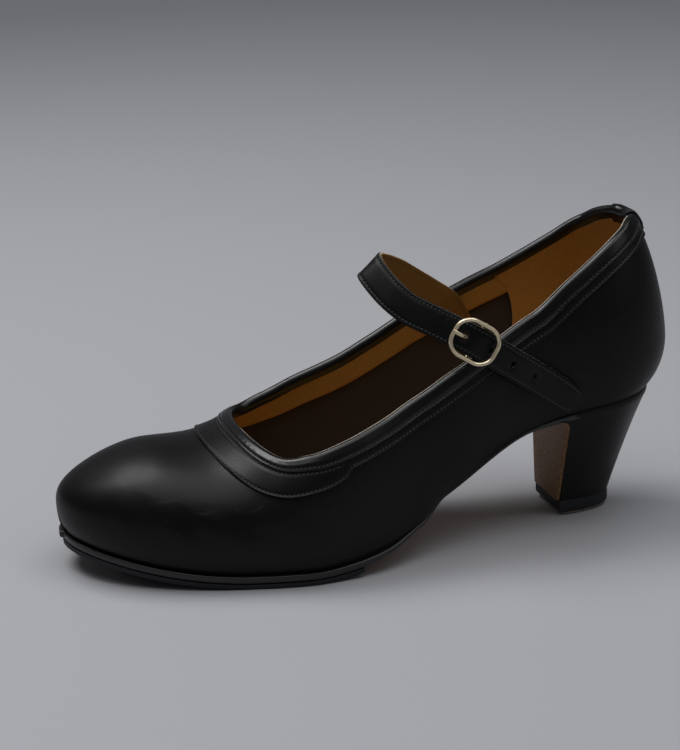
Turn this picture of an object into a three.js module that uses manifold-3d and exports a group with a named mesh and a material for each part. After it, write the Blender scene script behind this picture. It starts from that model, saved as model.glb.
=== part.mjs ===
import * as THREE from 'three';
import * as BufferGeometryUtils from 'three/addons/utils/BufferGeometryUtils.js';
import Module from 'manifold-3d';

// Flamenco shoe for a left foot, in millimetres. The toe points along -X, the outer side
// of the foot is -Y and +Z is up. The origin is on the floor under the middle of the shoe.

// Sizes of the last
const LENGTH = 240;
const BALL_WIDTH = 85;
const BODY_HEIGHT = 70;
const HEEL_RISE = 48.8;
const TOE_SPRING = 8.2;
const TUCK_TURN = 65;

// Sizes of the pieces
const WALL = 2.0;
const GAP = 0.3;
const OUTSOLE = 2.6;
const HALF_SOLE = 2.0;
const INSOLE = 2.0;
const LIFT = 5.0;
const NAIL_HEADS = 1.0;
const TOE_NAIL_HEADS = 0.8;
const BREAST_COVER = 1.4;
const SKIN = 0.8;
const BINDING_OUTSIDE = 4.5;
const BINDING_INSIDE = 2.5;
const FACING_WIDTH = 3.2;
const CRESCENT_WIDTH = 5.2;
const STRAP_WIDTH = 11.6;
const STRAP = 1.8;
const STRAP_POINT = 9;
const TAB_WIDTH = 8.6;
const TAB = 0.9;
const TAB_LENGTH = 20;
const BACK_TAB_WIDTH = 15;
const BACK_TAB_OUTSIDE = 6.5;
const BACK_TAB_INSIDE = 4;
const BUCKLE_LENGTH = 18;
const BUCKLE_WIDTH = 16;
const BUCKLE_CORNER = 5.4;
const BUCKLE_WIRE = 1.7;
const PRONG_WIRE = 1.4;

// Sizes of the heel, measured from the back of the shoe towards the toe
const HEEL_BREAST = { lateral: 47.0, medial: 40.2 };
const HEEL_TIP_BACK = 19.9;
const HEEL_TIP_LENGTH = 24.5;
const HEEL_TIP_WIDTH = 25.0;
const HEEL_TIP_SHIFT = 2.2;
const HEEL_SWEEP = 0.95;
const TIP_SQUARE = 0.8;

// Where along the length the plan starts to round off, and how tightly
const TOE_START = 0.6;
const HEEL_START = 0.22;
const END_POWER = 2;
const THROAT = 0.723;
const THROAT_START = 0.58;
const THROAT_POWER = 4.5;
const CRESCENT_START = 0.585;
const CRESCENT_TIP = 0.18;
const COLUMN_LEAN = 0.6;
const HALF_SOLE_START = 0.565;
const TOE_NAIL_START = 0.915;
const TOE_NAIL_INSET = 2.6;
const HEEL_NAIL_INSET = 1.2;
const INSOLE_INSET = 2.5;
const BLOCK_INSET = 0.5;
const COVER_INSET = 0.6;

// Mesh density
const AROUND = 64;
const TUCK_ROWS = 4;
const BODY_ROWS = 12;
const ROW_CROWDING = 1.4;
const PLATE_AROUND = 64;
const HEEL_AROUND = 33;
const HEEL_LEVELS = 10;
const STRAP_STEPS = 54;
const WIRE_SIDES = 8;

// Sections across the last. Station 0 is the heel back and 1 the toe tip. Half widths, swing
// and tucks are shares of BALL_WIDTH, wide and girth of BODY_HEIGHT, rise of HEEL_RISE and
// spring of TOE_SPRING. Fullness is the roundness of the section over the foot.
const SECTIONS = table(
  'station lateral medial swing rise spring wide tuckLateral tuckMedial girth fullness',
  [
    [0.00, 0.349, 0.353, 0.006, 1.000, 0.000, 0.235, 0.089, 0.035, 1.034, 1.58],
    [0.12, 0.367, 0.368, 0.006, 0.945, 0.000, 0.235, 0.035, 0.035, 1.100, 2.25],
    [0.25, 0.348, 0.359, 0.032, 0.787, 0.000, 0.257, 0.047, 0.053, 1.024, 2.30],
    [0.40, 0.395, 0.356, 0.000, 0.368, 0.000, 0.229, 0.092, 0.094, 1.147, 2.33],
    [0.46, 0.420, 0.368, 0.000, 0.214, 0.000, 0.215, 0.012, 0.092, 1.108, 2.33],
    [0.52, 0.468, 0.390, 0.000, 0.088, 0.000, 0.200, 0.010, 0.080, 1.059, 2.33],
    [0.58, 0.516, 0.429, 0.000, 0.028, 0.000, 0.182, 0.025, 0.063, 0.985, 2.34],
    [0.64, 0.543, 0.464, 0.000, 0.000, 0.000, 0.171, 0.041, 0.047, 0.846, 2.35],
    [0.69, 0.528, 0.480, 0.003, 0.000, 0.000, 0.171, 0.038, 0.040, 0.700, 2.28],
    [0.74, 0.502, 0.488, 0.008, 0.000, 0.000, 0.171, 0.035, 0.035, 0.602, 2.20],
    [0.79, 0.481, 0.475, 0.012, 0.000, 0.084, 0.167, 0.037, 0.032, 0.566, 2.23],
    [0.85, 0.455, 0.447, 0.018, 0.000, 0.301, 0.159, 0.040, 0.029, 0.560, 2.30],
    [1.00, 0.381, 0.399, 0.044, 0.000, 1.175, 0.145, 0.040, 0.024, 0.379, 2.44],
  ],
);

// How far out the topline runs, as a share of the half width, before the throat closes it
const TOPLINE = table(
  'station lateral medial',
  [
    [0.06, 0.560, 0.560],
    [0.08, 0.605, 0.650],
    [0.10, 0.682, 0.738],
    [0.15, 0.785, 0.830],
    [0.20, 0.853, 0.861],
    [0.26, 0.914, 0.876],
    [0.34, 0.925, 0.872],
    [0.42, 0.917, 0.849],
    [0.50, 0.898, 0.830],
    [0.58, 0.883, 0.824],
    [0.66, 0.846, 0.808],
    [0.72, 0.860, 0.835],
  ],
);

// How far the edge of the outsole stands out past the upper and how thick the outsole is, in
// millimetres
const SOLE_EDGE = table(
  'station reach thick',
  [
    [0.00, 0.4, 2.6],
    [0.19, 0.3, 2.6],
    [0.28, -0.6, 1.6],
    [0.40, -0.5, 1.5],
    [0.46, 0.3, 1.6],
    [0.53, 1.8, 2.3],
    [0.58, 1.7, 2.6],
    [1.00, 1.6, 2.6],
  ],
);

// The strap from its sewn end, over the instep and down to the buckle. Along is a share of
// LENGTH from the heel back, across of BALL_WIDTH and up of BODY_HEIGHT, and turn is the
// angle below level of the strap's width.
const STRAP_ARCH = table(
  'along across up turn',
  [
    [0.334, 0.262, 1.165, 43],
    [0.369, 0.226, 1.256, 43],
    [0.405, 0.178, 1.343, 43],
    [0.452, 0.100, 1.451, 43],
    [0.495, 0.000, 1.512, 43],
    [0.481, -0.130, 1.411, 49],
    [0.458, -0.210, 1.336, 52],
    [0.428, -0.280, 1.284, 54],
    [0.401, -0.330, 1.237, 55],
  ],
);
const BUCKLE_PLACE = { along: 0.372, across: -0.380, up: 1.184, turn: 55 };

// The two ends of the strap lie on the quarters: along and height, and the distance between
// the quarter's outer face and the middle of the strap
const SEWN_END = [
  { along: 0.302, up: 1.000, off: -1.5, turn: 43 },
  { along: 0.316, up: 1.074, off: -3.3, turn: 43 },
];
const FREE_END = [
  { along: 0.335, up: 1.089, off: 3.5, turn: 55 },
  { along: 0.298, up: 1.008, off: 3.2, turn: 55 },
  { along: 0.261, up: 0.926, off: 1.7, turn: 55 },
  { along: 0.222, up: 0.831, off: 0.6, turn: 55 },
  { along: 0.189, up: 0.744, off: 0.5, turn: 55 },
];

const FOREFOOT = HALF_SOLE + GAP + OUTSOLE + GAP;
const wasm = await Module();
wasm.setup();

// Tables and smooth curves through them

function table(names, rows) {
  const columns = {};
  names.split(' ').forEach((name, i) => {
    columns[name] = rows.map((row) => row[i]);
  });
  return columns;
}

function clamp(value, low, high) {
  return Math.min(high, Math.max(low, value));
}

function lerp(a, b, t) {
  return a + (b - a) * t;
}

// A curve that never overshoots its rows
function slopes(xs, ys) {
  const last = xs.length - 1;
  const secant = [];
  for (let i = 0; i < last; i++) secant.push((ys[i + 1] - ys[i]) / (xs[i + 1] - xs[i]));
  const out = [secant[0]];
  for (let i = 1; i < last; i++) {
    const [p, q] = [secant[i - 1], secant[i]];
    out.push(p * q <= 0 ? 0 : (2 * p * q) / (p + q));
  }
  out.push(secant[last - 1]);
  return out;
}

function at(columns, name, x) {
  const xs = columns.station;
  const ys = columns[name];
  columns.slopes ??= {};
  const m = (columns.slopes[name] ??= slopes(xs, ys));
  let i = 0;
  while (i < xs.length - 2 && x > xs[i + 1]) i++;
  const h = xs[i + 1] - xs[i];
  const t = clamp((x - xs[i]) / h, 0, 1);
  const [t2, t3] = [t * t, t * t * t];
  return (2 * t3 - 3 * t2 + 1) * ys[i] + (t3 - 2 * t2 + t) * h * m[i]
    + (3 * t2 - 2 * t3) * ys[i + 1] + (t3 - t2) * h * m[i + 1];
}

function bisect(low, high, isBefore) {
  let [a, b] = [low, high];
  for (let i = 0; i < 50; i++) {
    const middle = (a + b) / 2;
    if (isBefore(middle)) a = middle;
    else b = middle;
  }
  return (a + b) / 2;
}

// The last

function endShare(s) {
  const toe = Math.max(0, (s - TOE_START) / (1 - TOE_START)) ** END_POWER;
  const heel = Math.max(0, (HEEL_START - s) / HEEL_START) ** END_POWER;
  return Math.hypot(toe, heel);
}

function bottomHeight(s) {
  return FOREFOOT + HEEL_RISE * at(SECTIONS, 'rise', s) + TOE_SPRING * at(SECTIONS, 'spring', s);
}

function sideName(a) {
  return Math.sin(a) >= 0 ? 'lateral' : 'medial';
}

function widestHeight(s) {
  return bottomHeight(s) + BODY_HEIGHT * at(SECTIONS, 'wide', s);
}

function lastPoint(s, eta, a) {
  const rho = Math.min(1, Math.hypot(eta, endShare(s)));
  const n = at(SECTIONS, 'fullness', s);
  const low = widestHeight(s);
  const high = bottomHeight(s) + BODY_HEIGHT * at(SECTIONS, 'girth', s);
  const sign = Math.sin(a) >= 0 ? -1 : 1;
  const half = BALL_WIDTH * at(SECTIONS, sideName(a), s);
  const y = BALL_WIDTH * at(SECTIONS, 'swing', s) + sign * half * eta;
  return new THREE.Vector3(-s * LENGTH, y, low + (high - low) * Math.max(0, 1 - rho ** n) ** (1 / n));
}

// Zero on the surface of the last above its widest line, negative inside
function lastValue(p) {
  const s = -p.x / LENGTH;
  const y = p.y - BALL_WIDTH * at(SECTIONS, 'swing', s);
  const eta = Math.abs(y) / (BALL_WIDTH * at(SECTIONS, y < 0 ? 'lateral' : 'medial', s));
  const n = at(SECTIONS, 'fullness', s);
  const low = widestHeight(s);
  const high = bottomHeight(s) + BODY_HEIGHT * at(SECTIONS, 'girth', s);
  const up = Math.max(0, (p.z - low) / (high - low));
  return (eta ** 2 + endShare(s) ** 2) ** (n / 2) + up ** n - 1;
}

function lastGradient(p) {
  const step = 0.01;
  const slope = (axis) => {
    const before = p.clone();
    const after = p.clone();
    before[axis] -= step;
    after[axis] += step;
    return (lastValue(after) - lastValue(before)) / (2 * step);
  };
  return new THREE.Vector3(slope('x'), slope('y'), slope('z'));
}

function ontoLast(p) {
  for (let i = 0; i < 3; i++) {
    const gradient = lastGradient(p);
    p.addScaledVector(gradient, -lastValue(p) / gradient.lengthSq());
  }
  return p;
}

function toplineShare(s, side) {
  const round = clamp((s - THROAT_START) / (THROAT - THROAT_START), 0, 1);
  return at(TOPLINE, side, s) * Math.sqrt(1 - round ** THROAT_POWER);
}

const BACK = bisect(0, HEEL_START, (s) => endShare(s) > toplineShare(s, 'lateral'));
const FRONT = bisect(TOE_START, THROAT, (s) => endShare(s) < toplineShare(s, 'lateral'));

function aroundShare(a) {
  return (1 - Math.cos(a)) / 2;
}

function bodyPoint(a, g) {
  const share = aroundShare(a);
  const top = lerp(BACK, FRONT, share + COLUMN_LEAN * share * (1 - share));
  const atSeam = Math.abs(Math.sin(a)) < 1e-9;
  const low = atSeam ? 0 : Math.sqrt(Math.max(0, 1 - endShare(share) ** 2));
  const high = atSeam ? 0 : Math.sqrt(Math.max(0, toplineShare(top, sideName(a)) ** 2 - endShare(top) ** 2));
  return lastPoint(lerp(share, top, g), lerp(low, high, g), a);
}

const NUDGE = 1e-3;

function planNormal(a) {
  const t = bodyPoint(a + NUDGE, 0).sub(bodyPoint(a - NUDGE, 0));
  return new THREE.Vector3(-t.y, t.x, 0).normalize();
}

// The outer face of the upper: v is -1 at the sole, 0 at the widest line and 1 at the topline
function outerPoint(a, v) {
  if (v >= 0) return bodyPoint(a, 1 - Math.cos((Math.min(v, 1) * Math.PI) / 2));
  const s = aroundShare(a);
  const turn = THREE.MathUtils.degToRad(TUCK_TURN);
  const phi = -v * turn;
  const tuckName = sideName(a) === 'lateral' ? 'tuckLateral' : 'tuckMedial';
  const inset = BALL_WIDTH * at(SECTIONS, tuckName, s) * (1 - Math.cos(phi)) / (1 - Math.cos(turn));
  const point = bodyPoint(a, 0).addScaledVector(planNormal(a), -inset);
  point.z = lerp(point.z, bottomHeight(-point.x / LENGTH), Math.sin(phi) / Math.sin(turn));
  return point;
}

function outerNormal(a, v) {
  if (v >= 0) return lastGradient(outerPoint(a, v)).normalize();
  const along = outerPoint(a + NUDGE, v).sub(outerPoint(a - NUDGE, v));
  const up = outerPoint(a, Math.min(1, v + NUDGE)).sub(outerPoint(a, Math.max(-1, v - NUDGE)));
  return up.cross(along).normalize();
}

// One line up the outer face, with its normals and the distance of each point from the topline
function column(a) {
  const steps = [];
  for (let i = 0; i <= 8; i++) steps.push(-1 + i / 8);
  for (let i = 1; i <= 40; i++) steps.push(i / 40);
  const points = steps.map((v) => outerPoint(a, v));
  const normals = steps.map((v) => outerNormal(a, v));
  const below = new Array(steps.length).fill(0);
  for (let i = steps.length - 2; i >= 0; i--) below[i] = below[i + 1] + points[i].distanceTo(points[i + 1]);
  return { points, normals, below };
}

// One line down the outer face, square to the topline
function skinLine(a) {
  const reach = 18;
  const count = 20;
  const p = outerPoint(a, 1);
  const along = outerPoint(a + NUDGE, 1).sub(outerPoint(a - NUDGE, 1)).normalize();
  const normal = lastGradient(p).normalize();
  const down = normal.clone().cross(along);
  const points = [p.clone()];
  const normals = [normal.clone()];
  const below = [0];
  for (let i = 1; i <= count; i++) {
    ontoLast(p.addScaledVector(down, reach / count));
    normal.copy(lastGradient(p)).normalize();
    down.addScaledVector(normal, -down.dot(normal)).normalize();
    points.unshift(p.clone());
    normals.unshift(normal.clone());
    below.unshift((reach * i) / count);
  }
  return { points, normals, below };
}

function onColumn(line, distance, off) {
  const { points, normals, below } = line;
  let i = points.length - 2;
  while (i > 0 && below[i] < distance) i--;
  const t = clamp((below[i] - distance) / (below[i] - below[i + 1]), 0, 1);
  const normal = normals[i].clone().lerp(normals[i + 1], t).normalize();
  return points[i].clone().lerp(points[i + 1], t).addScaledVector(normal, off);
}

function angles(count) {
  return Array.from({ length: count }, (_, i) => (2 * Math.PI * i) / count);
}

function topDirection(line) {
  const n = line.points.length;
  return line.points[n - 1].clone().sub(line.points[n - 3]).normalize();
}

// A point of a quarter's outer face at a station and a height, and its normal
function quarterPoint(s, z, side) {
  const sign = side === 'lateral' ? -1 : 1;
  const half = (station) => BALL_WIDTH * at(SECTIONS, side, station);
  const low = widestHeight(s);
  let y;
  if (z >= low) {
    const n = at(SECTIONS, 'fullness', s);
    const high = bottomHeight(s) + BODY_HEIGHT * at(SECTIONS, 'girth', s);
    const rho = (1 - clamp((z - low) / (high - low), 0, 1) ** n) ** (1 / n);
    y = half(s) * Math.sqrt(Math.max(0, rho ** 2 - endShare(s) ** 2));
  } else {
    const turn = THREE.MathUtils.degToRad(TUCK_TURN);
    const drop = clamp((low - z) / (BODY_HEIGHT * at(SECTIONS, 'wide', s)), 0, 1);
    const phi = Math.asin(drop * Math.sin(turn));
    const tuck = BALL_WIDTH * at(SECTIONS, side === 'lateral' ? 'tuckLateral' : 'tuckMedial', s);
    const inset = (tuck * (1 - Math.cos(phi))) / (1 - Math.cos(turn));
    y = half(s) * Math.sqrt(Math.max(0, 1 - endShare(s) ** 2)) - inset;
  }
  return new THREE.Vector3(-s * LENGTH, sign * y, z);
}

function offQuarter(s, z, side, off) {
  const step = 0.004;
  const p = quarterPoint(s, z, side);
  const along = quarterPoint(s - step, z, side).sub(quarterPoint(s + step, z, side));
  const up = quarterPoint(s, z + 0.5, side).sub(quarterPoint(s, z - 0.5, side));
  const normal = along.cross(up).normalize();
  if (normal.y * p.y < 0) normal.negate();
  return p.addScaledVector(normal, off);
}

// Closed meshes from rings of points

function signedVolume(points, faces) {
  const cross = new THREE.Vector3();
  let volume = 0;
  for (const [i, j, k] of faces) volume += points[i].dot(cross.crossVectors(points[j], points[k]));
  return volume / 6;
}

function meshGeometry(points, faces) {
  const outward = signedVolume(points, faces) > 0;
  const geometry = new THREE.BufferGeometry();
  geometry.setAttribute('position', new THREE.Float32BufferAttribute(points.flatMap((p) => [p.x, p.y, p.z]), 3));
  geometry.setIndex(faces.flatMap(([i, j, k]) => (outward ? [i, j, k] : [i, k, j])));
  geometry.computeVertexNormals();
  return geometry;
}

// Faces across a ring whose points come in pairs on the two sides of the shoe
function pairedCap(first, count, poleFirst) {
  const faces = [];
  let i = first;
  let k = first + count - 1;
  if (poleFirst) {
    faces.push([first, first + 1, k]);
    i += 1;
  }
  while (k - i >= 2) {
    faces.push([i, i + 1, k]);
    if (k - i > 2) faces.push([i + 1, k - 1, k]);
    i += 1;
    k -= 1;
  }
  return faces;
}

// rings[k][j]: closed over k and j gives a hollow ring, otherwise the open ends are capped
function ringSolid(rings, { closedAcross = false, closedAlong = true, poleFirst = false } = {}) {
  const rows = rings.length;
  const count = rings[0].length;
  const points = rings.flat();
  const faces = [];
  const lastRow = closedAcross ? rows : rows - 1;
  const lastColumn = closedAlong ? count : count - 1;
  for (let k = 0; k < lastRow; k++) {
    for (let j = 0; j < lastColumn; j++) {
      const p = k * count + j;
      const q = k * count + ((j + 1) % count);
      const r = ((k + 1) % rows) * count + j;
      const t = ((k + 1) % rows) * count + ((j + 1) % count);
      faces.push([p, q, t], [p, t, r]);
    }
  }
  if (!closedAcross) {
    for (const [i, j, k] of pairedCap(0, count, poleFirst)) faces.push([i, k, j]);
    faces.push(...pairedCap((rows - 1) * count, count, poleFirst));
  }
  return meshGeometry(points, faces);
}

// A band whose section is a closed polygon and whose two ends are flat
function bandSolid(sections) {
  return ringSolid(sections, { closedAcross: false, closedAlong: true });
}

function toManifold(geometry) {
  const plain = geometry.clone();
  plain.deleteAttribute('normal');
  plain.deleteAttribute('uv');
  const merged = BufferGeometryUtils.mergeVertices(plain, 1e-5);
  return new wasm.Manifold(new wasm.Mesh({
    numProp: 3,
    vertProperties: new Float32Array(merged.attributes.position.array),
    triVerts: new Uint32Array(merged.index.array),
  }));
}

function fromManifold(solid) {
  const mesh = solid.getMesh();
  const geometry = new THREE.BufferGeometry();
  geometry.setAttribute('position', new THREE.Float32BufferAttribute(mesh.vertProperties, 3));
  geometry.setIndex(Array.from(mesh.triVerts));
  geometry.computeVertexNormals();
  return geometry;
}

// Upper: one hollow shell, open at the topline and underneath

function upperGeometry() {
  const lines = angles(AROUND).map(column);
  const widest = 8;
  const rows = [];
  const place = (distance, off) => lines.map((line) => onColumn(line, distance(line), off));
  const tuckRow = (i) => (line) => line.below[Math.round((widest * i) / TUCK_ROWS)];
  const bodyRow = (i) => (line) => line.below[widest] * (1 - i / BODY_ROWS) ** ROW_CROWDING;
  for (let i = 0; i < TUCK_ROWS; i++) rows.push(place(tuckRow(i), 0));
  for (let i = 0; i <= BODY_ROWS; i++) rows.push(place(bodyRow(i), 0));
  for (let i = BODY_ROWS; i >= 0; i--) rows.push(place(bodyRow(i), -WALL));
  for (let i = TUCK_ROWS - 1; i >= 0; i--) rows.push(place(tuckRow(i), -WALL));
  return ringSolid(rows, { closedAcross: true });
}

// Binding, facing and back tab all follow the topline

function wrapSection(line, outside, inside, lift, thick) {
  const up = topDirection(line);
  const crown = onColumn(line, 0, -WALL / 2);
  const over = (off) => crown.clone().addScaledVector(up, off);
  const shoulder = (face, off) => onColumn(line, 0, face).addScaledVector(up, off);
  const outer = lift + thick;
  return [
    onColumn(line, outside, lift),
    onColumn(line, outside, outer),
    onColumn(line, outside / 2, outer),
    shoulder(outer * 0.85, lift),
    over(outer),
    shoulder(-WALL - outer * 0.85, lift),
    onColumn(line, inside, -WALL - outer),
    onColumn(line, inside, -WALL - lift),
    shoulder(-WALL - lift, 0),
    shoulder(-WALL * 0.8, lift),
    shoulder(-WALL * 0.2, lift),
    shoulder(lift, 0),
    onColumn(line, outside / 2, lift),
  ];
}

function bindingGeometry() {
  const sections = angles(AROUND).map((a) => wrapSection(skinLine(a), BINDING_OUTSIDE, BINDING_INSIDE, GAP, SKIN));
  const rings = sections[0].map((_, k) => sections.map((section) => section[k]));
  return ringSolid(rings, { closedAcross: true });
}

function backTabGeometry() {
  const half = bisect(0, 1.2, (a) => Math.abs(outerPoint(a, 1).y) < BACK_TAB_WIDTH / 2);
  const lift = 4 * GAP + SKIN;
  const sections = [];
  const steps = 12;
  for (let i = 0; i <= steps; i++) {
    const line = skinLine(half * ((2 * i) / steps - 1));
    sections.push(wrapSection(line, BACK_TAB_OUTSIDE, BACK_TAB_INSIDE, lift, SKIN));
  }
  return openBand(sections, uShapeFaces());
}

// A band with ends: faces between its sections and one cap at each end
function openBand(sections, cap) {
  const count = sections[0].length;
  const points = sections.flat();
  const faces = [];
  for (let i = 0; i < sections.length - 1; i++) {
    for (let j = 0; j < count; j++) {
      const p = i * count + j;
      const q = i * count + ((j + 1) % count);
      faces.push([p, q, q + count], [p, q + count, p + count]);
    }
  }
  const base = points.length - count;
  for (const [i, j, k] of cap) {
    faces.push([i, k, j]);
    faces.push([base + i, base + j, base + k]);
  }
  return meshGeometry(points, faces);
}

// Triangles that fill the section of wrapSection, from its outer end over the crown
function uShapeFaces() {
  const outer = [1, 2, 3, 4, 5, 6];
  const inner = [0, 12, 11, 10, 9, 8, 7];
  return [
    [outer[0], outer[1], inner[0]],
    [outer[1], inner[1], inner[0]],
    [outer[1], outer[2], inner[1]],
    [outer[2], inner[2], inner[1]],
    [outer[2], outer[3], inner[2]],
    [outer[3], inner[3], inner[2]],
    [outer[3], inner[4], inner[3]],
    [outer[3], outer[4], inner[4]],
    [outer[4], inner[5], inner[4]],
    [outer[4], outer[5], inner[5]],
    [outer[5], inner[6], inner[5]],
  ];
}

function skinSection(line, from, to) {
  const middle = (from + to) / 2;
  return [
    onColumn(line, from, GAP),
    onColumn(line, from, GAP + SKIN),
    onColumn(line, middle, GAP + SKIN),
    onColumn(line, to, GAP + SKIN),
    onColumn(line, to, GAP),
    onColumn(line, middle, GAP),
  ];
}

function facingGeometry() {
  const from = BINDING_OUTSIDE + GAP;
  const sections = angles(AROUND).map((a) => skinSection(skinLine(a), from, from + FACING_WIDTH));
  const rings = sections[0].map((_, k) => sections.map((section) => section[k]));
  return ringSolid(rings, { closedAcross: true });
}

// The crescent round the throat narrows to nothing where it meets the facing on both sides
function crescentGeometry() {
  const from = BINDING_OUTSIDE + 2 * GAP + FACING_WIDTH;
  const startsAt = (a) => -outerPoint(a, 1).x / LENGTH < CRESCENT_START;
  const half = Math.PI - bisect(0, Math.PI, startsAt);
  const steps = 40;
  const sections = [];
  for (let i = 0; i <= steps; i++) {
    const u = (2 * i) / steps - 1;
    const width = CRESCENT_WIDTH * lerp(CRESCENT_TIP, 1, Math.sqrt(1 - u ** 4));
    sections.push(skinSection(skinLine(Math.PI + half * u), from, from + width));
  }
  return openBand(sections, [[0, 1, 5], [1, 2, 5], [2, 3, 5], [3, 4, 5]]);
}

// Soles

function soleOutline(a, inset) {
  const s = aroundShare(a);
  const reach = at(SOLE_EDGE, 'reach', s) - inset;
  return outerPoint(a, -1).addScaledVector(planNormal(a), reach);
}

function stationOf(point) {
  return -point.x / LENGTH;
}

function atHeight(point, z) {
  return new THREE.Vector3(point.x, point.y, z);
}

const outsoleTop = (s) => bottomHeight(s) - GAP;
const outsoleBottom = (s) => outsoleTop(s) - at(SOLE_EDGE, 'thick', s);
const halfSoleTop = (s) => outsoleBottom(s) - GAP;
const halfSoleBottom = (s) => halfSoleTop(s) - HALF_SOLE;

// A plate under the shoe between two heights, over a list of angles
function plateGeometry(list, inset, low, high, poleFirst) {
  const outline = list.map((a) => soleOutline(a, inset));
  const rings = [low, high].map((height) => outline.map((p) => atHeight(p, height(stationOf(p)))));
  return ringSolid(rings, { poleFirst });
}

function anglesFrom(station, count) {
  const start = Math.acos(1 - 2 * station);
  const end = 2 * Math.PI - start;
  return Array.from({ length: count }, (_, i) => lerp(start, end, i / (count - 1)));
}

function outsoleGeometry() {
  return plateGeometry(angles(PLATE_AROUND), 0, outsoleBottom, outsoleTop, true);
}

function halfSoleGeometry() {
  return plateGeometry(anglesFrom(HALF_SOLE_START, 49), 0, halfSoleBottom, halfSoleTop, false);
}

function toeNailsGeometry() {
  const high = (s) => halfSoleBottom(s) - GAP;
  const low = (s) => high(s) - TOE_NAIL_HEADS;
  return plateGeometry(anglesFrom(TOE_NAIL_START, 25), TOE_NAIL_INSET, low, high, false);
}

function insoleGeometry() {
  const low = (s) => bottomHeight(s);
  const high = (s) => bottomHeight(s) + INSOLE;
  const outline = angles(PLATE_AROUND).map((a) => outerPoint(a, -1).addScaledVector(planNormal(a), -INSOLE_INSET));
  const rings = [low, high].map((height) => outline.map((p) => atHeight(p, height(stationOf(p)))));
  return ringSolid(rings, { poleFirst: true });
}

// Heel

const tipBottom = NAIL_HEADS + GAP + LIFT + GAP;

function tipPoint(t, inset) {
  const turn = (Math.abs(t) * Math.PI) / 2;
  const x = HEEL_TIP_BACK + inset + (HEEL_TIP_LENGTH - 2 * inset) * (1 - Math.cos(turn));
  const y = (HEEL_TIP_WIDTH / 2 - inset) * Math.sin(turn) ** TIP_SQUARE;
  return new THREE.Vector3(-x, HEEL_TIP_SHIFT - Math.sign(t) * y, 0);
}

function seatPoint(t) {
  const breast = HEEL_BREAST[sideName(t)];
  const reach = Math.acos(1 - (2 * breast) / LENGTH);
  const p = soleOutline(t * reach, BLOCK_INSET);
  return atHeight(p, outsoleBottom(stationOf(p)) - GAP);
}

function heelRing(level) {
  const share = level ** HEEL_SWEEP;
  return Array.from({ length: HEEL_AROUND }, (_, i) => {
    const t = 1 - (2 * i) / (HEEL_AROUND - 1);
    const seat = seatPoint(t);
    const point = seat.clone().lerp(tipPoint(t, 0), share);
    point.z = lerp(seat.z, tipBottom, level);
    return point;
  });
}

function heelBlockGeometry() {
  const rings = [];
  for (let k = 0; k <= HEEL_LEVELS; k++) rings.push(heelRing(1 - k / HEEL_LEVELS));
  return ringSolid(rings);
}

// The cover stands off the line between the two corners of the breast at every level
function breastCoverGeometry() {
  const rings = [];
  for (let k = 0; k <= HEEL_LEVELS; k++) {
    const level = 1 - k / HEEL_LEVELS;
    const ring = heelRing(level);
    const [outer, inner] = [ring[0], ring[HEEL_AROUND - 1]];
    const along = inner.clone().sub(outer).setZ(0).normalize();
    const forward = new THREE.Vector3(-along.y, along.x, 0);
    const corner = (p, inset, off) => {
      const q = p.clone().addScaledVector(along, inset).addScaledVector(forward, off);
      return atHeight(q, lerp(outsoleBottom(stationOf(q)) - GAP, tipBottom, level));
    };
    rings.push([
      corner(outer, COVER_INSET, GAP),
      corner(outer, COVER_INSET, GAP + BREAST_COVER),
      corner(inner, -COVER_INSET, GAP + BREAST_COVER),
      corner(inner, -COVER_INSET, GAP),
    ]);
  }
  return ringSolid(rings);
}

function tipPlate(inset, low, high) {
  const outline = Array.from({ length: HEEL_AROUND }, (_, i) => tipPoint(1 - (2 * i) / (HEEL_AROUND - 1), inset));
  return ringSolid([low, high].map((z) => outline.map((p) => atHeight(p, z))));
}

// Strap

function widthDirection(turn) {
  const t = THREE.MathUtils.degToRad(turn);
  return new THREE.Vector3(-Math.cos(t), 0, -Math.sin(t));
}

function strapStations() {
  const list = [];
  for (const q of SEWN_END) {
    list.push({ p: offQuarter(q.along, q.up * BODY_HEIGHT, 'medial', q.off), turn: q.turn });
  }
  STRAP_ARCH.along.forEach((along, i) => {
    const p = new THREE.Vector3(-along * LENGTH, STRAP_ARCH.across[i] * BALL_WIDTH, STRAP_ARCH.up[i] * BODY_HEIGHT);
    list.push({ p, turn: STRAP_ARCH.turn[i] });
  });
  const k = BUCKLE_PLACE;
  list.push({ p: new THREE.Vector3(-k.along * LENGTH, k.across * BALL_WIDTH, k.up * BODY_HEIGHT), turn: k.turn });
  for (const q of FREE_END) {
    list.push({ p: offQuarter(q.along, q.up * BODY_HEIGHT, 'lateral', q.off), turn: q.turn });
  }
  return list;
}

const STATIONS = strapStations();
const strapCurve = new THREE.CatmullRomCurve3(STATIONS.map((q) => q.p), false, 'centripetal');
const strapWidth = new THREE.CatmullRomCurve3(STATIONS.map((q) => widthDirection(q.turn)), false, 'centripetal');
const buckleShare = (STATIONS.length - 1 - FREE_END.length) / (STATIONS.length - 1);

// Position and directions of the strap at a share of its stations
function strapFrame(share) {
  const t = clamp(share, 0, 1);
  const p = strapCurve.getPoint(t);
  const along = strapCurve.getPoint(Math.min(1, t + NUDGE)).sub(strapCurve.getPoint(Math.max(0, t - NUDGE))).normalize();
  const i = t * (STATIONS.length - 1);
  const low = Math.min(STATIONS.length - 2, Math.floor(i));
  const turn = lerp(STATIONS[low].turn, STATIONS[low + 1].turn, i - low);
  const across = widthDirection(turn);
  across.addScaledVector(along, -across.dot(along)).normalize();
  const out = across.clone().cross(along).normalize();
  return { p, along, across, out };
}

function strapLengths(steps) {
  const list = [0];
  for (let i = 1; i <= steps; i++) {
    list.push(list[i - 1] + strapCurve.getPoint(i / steps).distanceTo(strapCurve.getPoint((i - 1) / steps)));
  }
  return list;
}

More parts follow.
